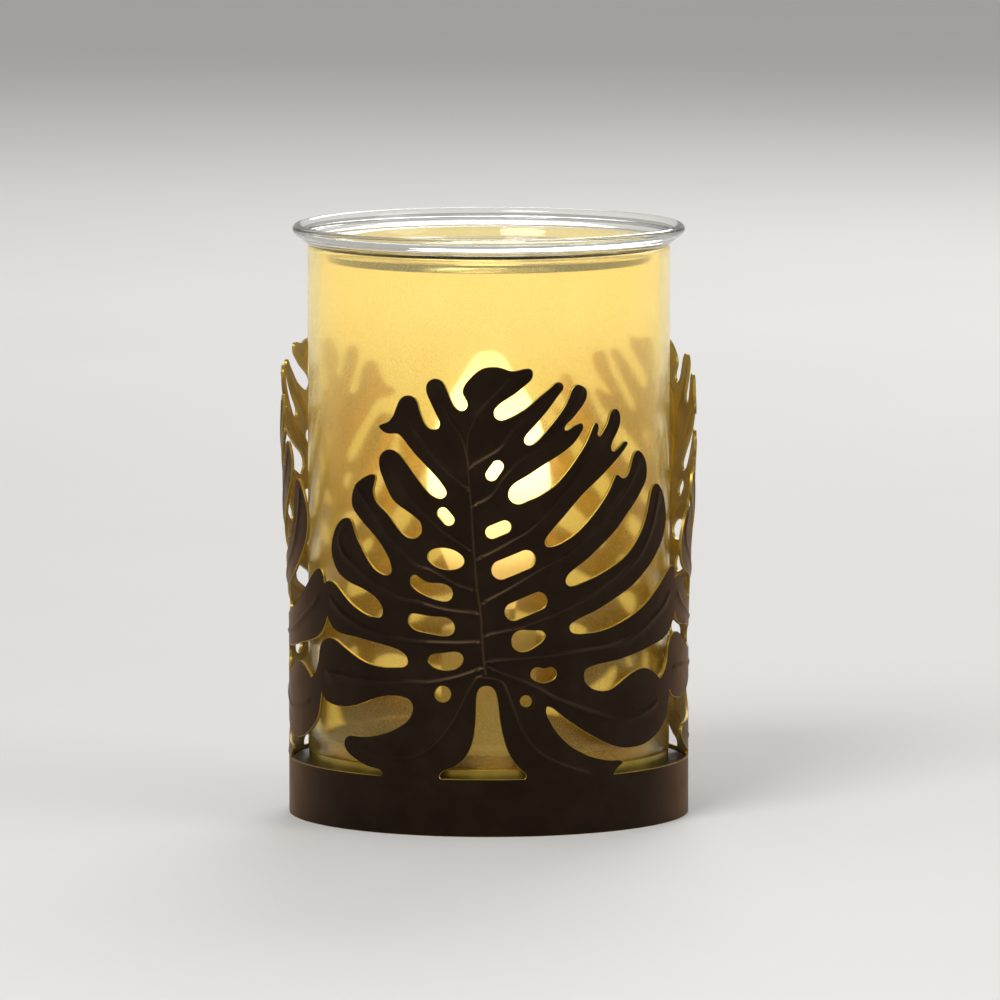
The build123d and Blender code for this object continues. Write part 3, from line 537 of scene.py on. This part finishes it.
def line_relief(spots, line, heights, gentle, steep):
    """How far one vein raises each unrolled place near it."""
    normals = line_sides(line)
    best = np.full(len(spots), np.inf)
    offset = np.zeros(len(spots))
    top = np.zeros(len(spots))
    for i in range(len(line) - 1):
        start, run = line[i], line[i + 1] - line[i]
        share = np.clip((spots - start) @ run / (run @ run), 0, 1)
        away = spots - start - share[:, None] * run
        distance = np.hypot(away[:, 0], away[:, 1])
        closer = distance < best
        best[closer] = distance[closer]
        side = away @ (normals[i] + normals[i + 1])
        offset[closer] = np.where(side >= 0, distance, -distance)[closer]
        top[closer] = (heights[i] + (heights[i + 1] - heights[i]) * share)[closer]
    width = np.where(offset >= 0, gentle, steep)
    return top * smooth_share(1 - best / width)


def vein_relief(places, lines):
    """How far each unrolled place of a leaf is raised by its veins."""
    raised = np.zeros(len(places))
    for line, heights, gentle, steep in lines:
        reach = max(gentle, steep)
        low, high = line.min(0) - reach, line.max(0) + reach
        near = np.nonzero(np.all((places > low) & (places < high), axis=1))[0]
        if len(near):
            rise = line_relief(places[near], line, heights, gentle, steep)
            raised[near] = np.maximum(raised[near], rise)
    return raised


def leaf_relief(places, lines):
    """Relief at (angle, height) places anywhere on the sleeve."""
    turn = wrapped(places[:, 0] - FRONT, LEAF_PITCH)
    return vein_relief(np.column_stack((turn * radius_at(places[:, 1]), places[:, 1])), lines)


def outer_triangles(mesh):
    """Points of the model's mesh, and the triangles of the sleeve's outer face."""
    corners = np.zeros(len(mesh.vertices) * 3)
    mesh.vertices.foreach_get("co", corners)
    corners = corners.reshape(-1, 3)
    mesh.calc_loop_triangles()
    faces = np.zeros(len(mesh.loop_triangles) * 3, np.int32)
    mesh.loop_triangles.foreach_get("vertices", faces)
    _, first, same = np.unique(np.round(corners / same_place).astype(np.int64), axis=0,
                               return_index=True, return_inverse=True)
    corners, faces = corners[first], same.reshape(-1)[faces].reshape(-1, 3)
    away = np.hypot(corners[:, 0], corners[:, 1]) - radius_at(corners[:, 2])
    outer = np.abs(away) < outer_tolerance
    return corners, faces[outer[faces].all(axis=1)]


def outline_loops(mesh):
    """The sleeve's outer outline as closed loops of (angle, height), from the model's own mesh."""
    corners, faces = outer_triangles(mesh)
    sides = np.vstack((faces[:, (0, 1)], faces[:, (1, 2)], faces[:, (2, 0)]))
    there = {tuple(side) for side in sides.tolist()}
    follows = {a: b for a, b in there if (b, a) not in there}
    loops = []
    while follows:
        start, turn = next(iter(follows.items()))
        loop = [start]
        del follows[start]
        while turn != start:
            loop.append(turn)
            turn = follows.pop(turn)
        points = corners[loop]
        loops.append(np.column_stack((np.arctan2(points[:, 1], points[:, 0]), points[:, 2])))
    return loops


def rim_of(loops):
    """All outline points, the number of the one after each, and the unit way along at each."""
    rim = np.vstack(loops)
    following, base = np.zeros(len(rim), int), 0
    for loop in loops:
        index = np.arange(len(loop)) + base
        following[index] = np.roll(index, -1)
        base += len(loop)
    before = np.zeros(len(rim), int)
    before[following] = np.arange(len(rim))
    along = rim[following] - rim[before]
    along[:, 0] = wrapped(along[:, 0]) * sleeve_radius
    along /= np.linalg.norm(along, axis=1)[:, None]
    return rim, following, along


def cylinder_spot(angle, height):
    """A place on the band's cylinder, in space."""
    return math.cos(angle) * sleeve_radius, math.sin(angle) * sleeve_radius, height


def rim_finder(rim):
    """A tree that finds the outline point nearest to a spot."""
    tree = KDTree(len(rim))
    for number, place in enumerate(rim):
        tree.insert(cylinder_spot(*place), number)
    tree.balance()
    return tree


def on_metal(places, finder, rim, along, gap):
    """Which places lie on the metal side of the nearest outline, at least a gap away from it."""
    found = np.zeros(len(places), bool)
    for number, (angle, height) in enumerate(places):
        _, nearest, distance = finder.find(cylinder_spot(angle, height))
        if distance < gap:
            continue
        across = wrapped(angle - rim[nearest, 0]) * sleeve_radius
        up = height - rim[nearest, 1]
        found[number] = along[nearest, 0] * up - along[nearest, 1] * across > 0
    return found


def grid_places(step):
    """Staggered rows of (angle, height) all over the sleeve."""
    rows = []
    count = round(TURN * sleeve_radius / step)
    for number, height in enumerate(np.arange(step / 2, leaf_top, step * math.sqrt(0.75))):
        angles = (np.arange(count) + 0.5 * (number % 2)) * TURN / count - math.pi
        rows.append(np.column_stack((angles, np.full(count, height))))
    return np.vstack(rows)


def row_places(lines):
    """Rows of points beside and on each vein, on every leaf, as (angle, height)."""
    rows = []
    for line, _, gentle, steep in lines:
        normals = line_sides(line)
        for share in vein_row_shares:
            rows.append(line + normals * share * (gentle if share > 0 else steep))
    places = np.vstack(rows)
    turned = []
    for leaf in range(LEAF_COUNT):
        angle = places[:, 0] / radius_at(places[:, 1]) + FRONT + leaf * LEAF_PITCH
        turned.append(np.column_stack((angle, places[:, 1])))
    return np.vstack(turned)


def spread(places, keep, gap):
    """The places that keep a gap to each other and to those kept before them."""
    cell = {}
    chosen = []
    everything = np.vstack((keep, places))
    xs = (everything[:, 0] % TURN) * sleeve_radius
    for number, (x, y) in enumerate(zip(xs, everything[:, 1])):
        i, j = int(x // gap), int(y // gap)
        if number >= len(keep):
            near = [q for a in (i - 1, i, i + 1) for b in (j - 1, j, j + 1)
                    for q in cell.get((a, b), ())]
            if any((x - p) ** 2 + (y - q) ** 2 < gap * gap for p, q in near):
                continue
            chosen.append(number - len(keep))
        cell.setdefault((i, j), []).append((x, y))
    return places[chosen]


def flat(places):
    """Angle and height to a flat ring in which shapes keep their angles."""
    size = np.exp(places[:, 1] / sleeve_radius)
    return np.column_stack((size * np.cos(places[:, 0]), size * np.sin(places[:, 0])))


def reached(faces, start, wall):
    """Which triangles can be reached from one of them without crossing a wall of sides."""
    beside = {}
    for number, (a, b, c) in enumerate(faces.tolist()):
        for side in ((a, b), (b, c), (c, a)):
            beside.setdefault(frozenset(side), []).append(number)
    kept = np.zeros(len(faces), bool)
    kept[start] = True
    waiting = [start]
    while waiting:
        a, b, c = faces[waiting.pop()].tolist()
        for side in (frozenset((a, b)), frozenset((b, c)), frozenset((c, a))):
            if side in wall:
                continue
            for number in beside[side]:
                if not kept[number]:
                    kept[number] = True
                    waiting.append(number)
    return kept


def filled(rim, sides, inside):
    """Triangles over the metal between closed outlines, with more points inside."""
    places = np.vstack((rim, inside))
    spots = [Vector(p) for p in flat(places)]
    _, _, faces, sources, _, _ = delaunay_2d_cdt(spots, sides, [], hull_triangles, flat_epsilon,
                                                 True)
    source = np.array([row[0] if row else -1 for row in sources])
    faces = source[np.array([f[:3] for f in faces])]
    faces = faces[(faces >= 0).all(axis=1)]
    start = int(np.nonzero((faces >= len(rim)).any(axis=1))[0][0])
    return places, faces[reached(faces, start, {frozenset(side) for side in sides})]


def metal_triangles(rim, following, along, lines):
    """Places and triangles of the sleeve's metal, finer on and beside the veins."""
    finder = rim_finder(rim)
    rows = row_places(lines)
    rows = rows[on_metal(rows, finder, rim, along, rim_gap)]
    rows = spread(rows, rim, vein_row_gap)
    grid = grid_places(outer_grid)
    grid = grid[on_metal(grid, finder, rim, along, rim_gap * grid_rim_share)]
    grid = spread(grid, rows, outer_grid * grid_gap_share)
    sides = [(i, int(following[i])) for i in range(len(rim))]
    return filled(rim, sides, np.vstack((rows, grid)))


def solid_places(places, radius):
    """Points in space at (angle, height) places and radii."""
    angle, height = places.T
    return np.column_stack((radius * np.cos(angle), radius * np.sin(angle), height))


def sheet_points(outer, relief, rim, along):
    """Points of the sheet's outer face, of the lip under its chamfer and of its inner face."""
    count = len(rim)
    inset = outer.copy()
    inset[:count, 0] -= along[:, 1] * edge_chamfer / sleeve_radius
    inset[:count, 1] += along[:, 0] * edge_chamfer
    radius = radius_at(outer[:, 1])
    radius -= (radius - sleeve_radius) / flare_width * flare_sink
    top = solid_places(inset, radius + relief)
    lip = solid_places(rim, radius[:count] + relief[:count] - edge_chamfer)
    under = solid_places(outer, radius - sleeve_sheet + relief * emboss_share)
    return top, lip, under


def outward(points, faces):
    """Triangles turned so that each faces away from the axis."""
    a, b, c = (points[faces[:, i]] for i in (0, 1, 2))
    facing = np.einsum("ij,ij->i", np.cross(b - a, c - a)[:, :2], a[:, :2]) > 0
    return np.where(facing[:, None], faces, faces[:, ::-1])


def sheet_faces(top, lip, under, outer_faces, following):
    """Triangles of the outer face, the chamfer, the cut edge and the inner face, in that order."""
    a, b = np.arange(len(lip)), following
    lip_a, lip_b = a + len(top), b + len(top)
    under_base = len(top) + len(lip)
    under_a, under_b = a + under_base, b + under_base
    edges = ((b, a, lip_a), (b, lip_a, lip_b), (lip_b, lip_a, under_a), (lip_b, under_a, under_b))
    inner_faces = outward(under, outer_faces)[:, ::-1] + under_base
    return np.vstack((outward(top, outer_faces), *(np.column_stack(e) for e in edges), inner_faces))


def build_sleeve():
    """The sleeve with embossed veins, from the outlines of its model."""
    rim, following, along = rim_of(outline_loops(nodes["leaf_sleeve"].data))
    lines = leaf_lines()
    outer, outer_faces = metal_triangles(rim, following, along, lines)
    relief = leaf_relief(outer, lines)
    top, lip, under = sheet_points(outer, relief, rim, along)
    points = np.vstack((top, lip, under))
    faces = sheet_faces(top, lip, under, outer_faces, following)
    mesh = bpy.data.meshes.new("leaf_sleeve_skin")
    mesh.from_pydata(points.tolist(), [], faces.tolist())
    mesh.materials.append(materials["bronze_paint"])
    mesh.materials.append(materials["gold_paint"])
    painted = np.ones(len(faces), np.int32)
    painted[:len(outer_faces)] = 0
    mesh.polygons.foreach_set("material_index", painted)
    stored = mesh.attributes.new("relief", "FLOAT", "POINT")
    raised = np.zeros(len(points), np.float32)
    raised[:len(top)] = relief / vein_height
    stored.data.foreach_set("value", raised)
    mesh.update()
    return add_object("leaf_sleeve_skin", mesh, sleeve_sharp)


sleeve_skin = build_sleeve()
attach(sleeve_skin, "sleeve")
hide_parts("leaf_sleeve")


# Turned pieces

large_turns = 192
small_turns = 96
glass_sharp = 35
metal_sharp = 50
metal_round_points = 6

shade_wall = 3.0 * MM
shade_edge = 0.9 * MM
shade_edge_points = 9
shade_wall_points = 24
shade_inner_gap = 0.1 * MM

# The dish's ledge is given from the place where it meets the glass's edge, out and up, in mm
dish_clearance = 0.4 * MM
dish_slope = 2.1 * MM
dish_rim = 1.65 * MM
dish_wall = 2.6 * MM
dish_floor = 2.8 * MM
dish_foot_edge = 0.6 * MM
dish_foot_round_end = -26
dish_foot_round_points = 7
dish_bead_start = -75
dish_bead_end = 200
dish_bead_points = 40
dish_floor_points = 8
dish_floor_share = 0.9
dish_foot_share = 0.985
dish_middle_share = 0.1
dish_slope_points = 5
dish_slope_share = 0.9
dish_run_points = 10
dish_sharp = 60
dish_ledge = ((-0.12, -0.3), (0.05, -0.05), (0.3, 0.0), (2.8, 0.0), (3.1, 0.06), (3.3, 0.22))
dish_bend_out_share = 0.7
dish_bend_up_share = 0.35

# The threads of cap and shell
Thread = namedtuple("Thread", "radius low high depth pitch")
thread_pitch = 2.8 * MM
thread_tolerance = 0.01 * MM
thread_margin = 0.5 * MM
cap_thread_margin = 0.3 * MM
cap_thread_depth = 0.32 * MM
shell_thread_depth = 0.3 * MM

cap_radius = 6.9 * MM
cap_sheet = 0.4 * MM
cap_flare_height = 6.6 * MM
cap_flare_shares = (0.25, 0.5, 0.75, 0.94)
cap_inner_shares = (0.75, 0.5, 0.25, 0)
cap_edge = 0.2 * MM
cap_corner = 0.15 * MM
cap_wall_points = 61

shell_sheet = 0.5 * MM
shell_corner = 0.15 * MM
shell_edge = 0.1 * MM
shell_wall_points = 90

seat_inner_radius = 46.1 * MM
seat_lip_width = 2.0 * MM
seat_lip_height = 3.5 * MM
seat_edge = 0.35 * MM
seat_fillet = 0.1 * MM


def arc_points(middle, radius, start, end, count):
    """Points (radius, height) of an arc; angles in degrees from outwards, turning up."""
    angles = np.radians(np.linspace(start, end, count))
    return [(middle[0] + radius * math.cos(t), middle[1] + radius * math.sin(t)) for t in angles]


def thread_offset(radius, height, angle, thread):
    """How far a thread moves a point of the wall it is pressed into."""
    if thread is None or abs(radius - thread.radius) > thread_tolerance:
        return 0.0
    if not thread.low <= height <= thread.high:
        return 0.0
    ends = min((height - thread.low) / thread.pitch, (thread.high - height) / thread.pitch, 1.0)
    return thread.depth * ends * (0.5 - 0.5 * math.cos(TURN * height / thread.pitch - angle))


def turned_points(outline, turns, thread):
    """Points of an outline turned round the axis, and their numbers ring by ring."""
    points, rings = [], []
    for r, z in outline:
        if r == 0:
            rings.append([len(points)] * turns)
            points.append((0, 0, z))
        else:
            rings.append(list(range(len(points), len(points) + turns)))
            for t in (TURN * k / turns for k in range(turns)):
                wide = r + thread_offset(r, z, t, thread)
                points.append((wide * math.cos(t), wide * math.sin(t), z))
    return points, rings


def turned_faces(rings, turns):
    """Faces between neighbouring rings, the last and the first too."""
    faces = []
    for low, high in zip(rings, rings[1:] + rings[:1]):
        for k in range(turns):
            n = (k + 1) % turns
            corners = []
            for corner in (low[k], low[n], high[n], high[k]):
                if corner not in corners:
                    corners.append(corner)
            if len(corners) > 2:
                faces.append(corners)
    return faces


def lathe(name, outline, body, slot, stands_for, turns, sharp, thread=None):
    """A closed outline of (radius, height) turned round the axis; a thread goes into one wall."""
    outline = [(max(r, 0.0), z) for r, z in outline]
    points, rings = turned_points(outline, turns, thread)
    mesh = bpy.data.meshes.new(name)
    mesh.from_pydata(points, [], turned_faces(rings, turns))
    made = add_object(name, mesh, sharp)
    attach(made, body)
    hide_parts(stands_for)
    dress(made, slot)
    return made


def build_shade():
    """The glass cylinder with round edges; its inner wall takes a smoother glass."""
    low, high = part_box("shade_glass")
    outer, inner, edge = high.x, high.x - shade_wall, shade_edge
    bottom, top = low.z + edge, high.z - edge
    heights = np.linspace(bottom + edge, top - edge, shade_wall_points)
    outline = arc_points((outer - edge, bottom), edge, -90, 0, shade_edge_points)
    outline += [(outer, z) for z in heights]
    outline += arc_points((outer - edge, top), edge, 0, 90, shade_edge_points)
    outline += arc_points((inner + edge, top), edge, 90, 180, shade_edge_points)
    outline += [(inner, z) for z in heights[::-1]]
    outline += arc_points((inner + edge, bottom), edge, 180, 270, shade_edge_points)
    made = lathe("shade_glass_body", outline, "shade", "frosted_glass", "shade_glass", large_turns,
                 glass_sharp)
    made.data.materials.append(materials["inner_glass"])
    for face in made.data.polygons:
        if math.hypot(face.center.x, face.center.y) < inner + shade_inner_gap:
            face.material_index = 1


def smooth_run(start, bend, end):
    """A smooth run from the end of the dish's bead over the bend down to the floor."""
    start, bend, end = (np.array(p) for p in (start, bend, end))
    angle = math.radians(dish_bead_end)
    first_way = np.array((math.sin(angle), -math.cos(angle)))
    first_way = first_way * np.sign((bend - start) @ first_way)
    pairs = ((start, bend, first_way * np.linalg.norm(bend - start), (end - start) / 2),
             (bend, end, (end - start) / 2, np.array((-1.0, 0.0)) * np.linalg.norm(end - bend)))
    points = []
    for a, b, out, arrive in pairs:
        for s in np.linspace(0, 1, dish_run_points + 1)[1:]:
            points.append(tuple((2 * s ** 3 - 3 * s ** 2 + 1) * a + (s ** 3 - 2 * s ** 2 + s) * out
                                + (3 * s ** 2 - 2 * s ** 3) * b + (s ** 3 - s ** 2) * arrive))
    return points


def build_dish():
    """The clear dish: floor, slope, ledge on the glass and rolled rim."""
    low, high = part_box("melt_dish")
    _, shade_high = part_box("shade_glass")
    seat = shade_high.z
    ledge_radius = shade_high.x - shade_wall - dish_clearance
    foot_radius = ledge_radius - dish_slope
    floor = low.z + dish_floor
    bead = arc_points((high.x - dish_rim, high.z - dish_rim), dish_rim, dish_bead_start,
                      dish_bead_end, dish_bead_points)
    *ledge, start = [(ledge_radius + out * MM, seat + up * MM) for out, up in dish_ledge]
    flat_end = (foot_radius - dish_wall, floor)
    bend = (ledge_radius - dish_bend_out_share * dish_wall, seat + dish_bend_up_share * dish_wall)

    outline = [(0.0, low.z)]
    outline += [(foot_radius * s, low.z)
                for s in np.linspace(dish_middle_share, dish_foot_share, dish_floor_points)]
    outline += arc_points((foot_radius - dish_foot_edge, low.z + dish_foot_edge), dish_foot_edge,
                          -90, dish_foot_round_end, dish_foot_round_points)
    outline += ledge
    outline += [tuple(np.array(start) * (1 - s) + np.array(bead[0]) * s)
                for s in np.linspace(0, dish_slope_share, dish_slope_points)]
    outline += bead
    outline += smooth_run(bead[-1], bend, flat_end)
    outline += [(flat_end[0] * s, floor)
                for s in np.linspace(dish_floor_share, dish_middle_share, dish_floor_points)]
    outline.append((0.0, floor))
    lathe("melt_dish_body", outline, "dish", "clear_glass", "melt_dish", large_turns, dish_sharp)


def build_cap():
    """The bulb's cap with its pressed thread."""
    low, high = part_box("bulb_cap")
    top, inner, mouth = high.z - cap_flare_height, cap_radius - cap_sheet, high.x - cap_sheet
    outline = [(cap_radius, z) for z in np.linspace(low.z, top, cap_wall_points)]
    outline += [(cap_radius + (high.x - cap_radius) * s, top + (high.z - top) * s)
                for s in cap_flare_shares]
    outline += [(high.x, high.z - cap_edge), (high.x - cap_corner, high.z), (mouth, high.z)]
    outline += [(inner + (mouth - inner) * s, top + (high.z - top) * s)
                for s in cap_inner_shares]
    outline.append((inner, low.z))
    thread = Thread(cap_radius, low.z + cap_thread_margin, top - thread_margin, -cap_thread_depth,
                    thread_pitch)
    lathe("bulb_cap_body", outline, "bulb", "cap_nickel", "bulb_cap", small_turns, metal_sharp,
          thread)


def build_shell():
    """The lampholder's thread shell with the thread inside."""
    low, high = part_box("holder_shell")
    outer, inner = high.x, high.x - shell_sheet
    outline = [(outer, low.z), (outer, high.z - shell_corner), (outer - shell_corner, high.z),
               (inner + shell_edge, high.z)]
    outline += [(inner, z) for z in np.linspace(high.z - shell_edge, low.z, shell_wall_points)]
    thread = Thread(inner, low.z + thread_margin, high.z - thread_margin, shell_thread_depth,
                    thread_pitch)
    lathe("holder_shell_body", outline, "base", "contact_brass", "holder_shell", small_turns,
          metal_sharp, thread)


def build_seat():
    """The gold seat ring with soft edges."""
    low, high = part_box("seat_ring")
    ledge, inner, edge = high.z - seat_lip_height, seat_inner_radius, seat_edge
    lip = inner + seat_lip_width
    outline = [(inner, low.z), (high.x, low.z)]
    outline += arc_points((high.x - edge, ledge - edge), edge, 0, 90, metal_round_points)
    outline += [(lip + edge, ledge), (lip + seat_fillet, ledge + seat_fillet), (lip, ledge + edge)]
    outline += arc_points((lip - edge, high.z - edge), edge, 0, 90, metal_round_points)
    outline += arc_points((inner + edge, high.z - edge), edge, 90, 180, metal_round_points)
    lathe("seat_ring_body", outline, "base", "gold_paint", "seat_ring", large_turns, metal_sharp)


build_shade()
build_dish()
build_cap()
build_shell()
build_seat()


# Materials on the model's own pieces

slots = {
    "base_pan": "base_paint",
    "bottom_cover": "cover_plastic",
    "cover_screws": "screw_steel",
    "feet": "foot_rubber",
    "cord_grommet": "grommet_rubber",
    "heat_shield": "shield_aluminium",
    "holder_body": "holder_plastic",
    "holder_core": "core_ceramic",
    "centre_contact": "contact_brass",
    "terminal_screws": "screw_steel",
    "holder_nipple": "nipple_steel",
    "nipple_washer": "nipple_steel",
    "nipple_nut": "nipple_steel",
    "bulb_tip": "tip_solder",
    "bulb_insulator": "insulator_glass",
    "bulb_glass": "bulb_frost",
    "bulb_stem": "stem_glass",
    "bulb_leads": "lead_wire",
    "bulb_filament": "filament_wire",
}
for name, slot in slots.items():
    dress(nodes[name], slot)


# Softer edges on the model's own pieces

edge_widths = {
    "feet": 0.5 * MM,
    "base_pan": 0.3 * MM,
    "cord_grommet": 0.3 * MM,
    "nipple_nut": 0.3 * MM,
    "cover_screws": 0.3 * MM,
}
weld_gap = 0.002 * MM
round_steps = 2
round_angle = math.radians(40)


def soften(piece, width):
    """Round a piece's sharp edges in the picture; its own mesh stays as it is."""
    weld = piece.modifiers.new("weld", "WELD")
    weld.merge_threshold = weld_gap
    bevel = piece.modifiers.new("round", "BEVEL")
    bevel.width = width
    bevel.segments = round_steps
    bevel.limit_method = "ANGLE"
    bevel.angle_limit = round_angle


for name, width in edge_widths.items():
    soften(nodes[name], width)


# Floor, light and camera


def build_floor():
    """A large plain pale floor."""
    mesh = bpy.data.meshes.new("floor")
    half = floor_half
    mesh.from_pydata([(-half, -half, 0), (half, -half, 0), (half, half, 0), (-half, half, 0)], [],
                     [(0, 1, 2, 3)])
    made = bpy.data.objects.new("floor", mesh)
    bpy.context.scene.collection.objects.link(made)
    finish, tree, shader = material("floor_paper")
    clouds = noise(tree, 3.0)
    link(tree, ramp(tree, clouds, ((0.3, (0.70, 0.69, 0.67)), (0.7, (0.72, 0.71, 0.69)))),
         shader.inputs["Base Color"])
    set_values(shader, {"Roughness": 0.7, "Specular IOR Level": 0.3})
    mesh.materials.append(finish)


def aim(item, target):
    """Turn a lamp or the camera to look at a point."""
    item.rotation_mode = "QUATERNION"
    item.rotation_quaternion = (Vector(target) - item.location).to_track_quat("-Z", "Y")


def area_light(name, place, size, power):
    """A large soft lamp that looks at the object."""
    lamp = bpy.data.lights.new(name, "AREA")
    lamp.shape = "DISK"
    lamp.size = size
    lamp.energy = power
    made = bpy.data.objects.new(name, lamp)
    made.location = place
    aim(made, lamp_aim)
    bpy.context.scene.collection.objects.link(made)


def build_world():
    """Even pale surroundings."""
    world = bpy.data.worlds.new("surroundings")
    bpy.context.scene.world = world
    world.use_nodes = True
    background = world.node_tree.nodes["Background"]
    background.inputs["Color"].default_value = (world_grey, world_grey, world_grey, 1)
    background.inputs["Strength"].default_value = world_strength


def build_camera():
    """The camera at the photograph's viewing angle."""
    camera = bpy.data.cameras.new("camera")
    camera.sensor_width = camera_sensor
    camera.lens = camera_sensor * camera_distance / camera_view_width
    camera.clip_end = camera_far
    made = bpy.data.objects.new("camera", camera)
    bpy.context.scene.collection.objects.link(made)
    right = Vector((math.cos(camera_azimuth), math.sin(camera_azimuth), 0))
    target = right * camera_aim_right + Vector((0, 0, camera_aim_height))
    level = math.cos(camera_elevation)
    back = Vector((math.sin(camera_azimuth) * level, -math.cos(camera_azimuth) * level,
                   math.sin(camera_elevation)))
    made.location = target + back * camera_distance
    aim(made, target)
    bpy.context.scene.camera = made


build_floor()
build_world()
build_camera()
for name, values in lamps.items():
    area_light(name, *values)

bpy.context.scene.view_settings.view_transform = "Standard"
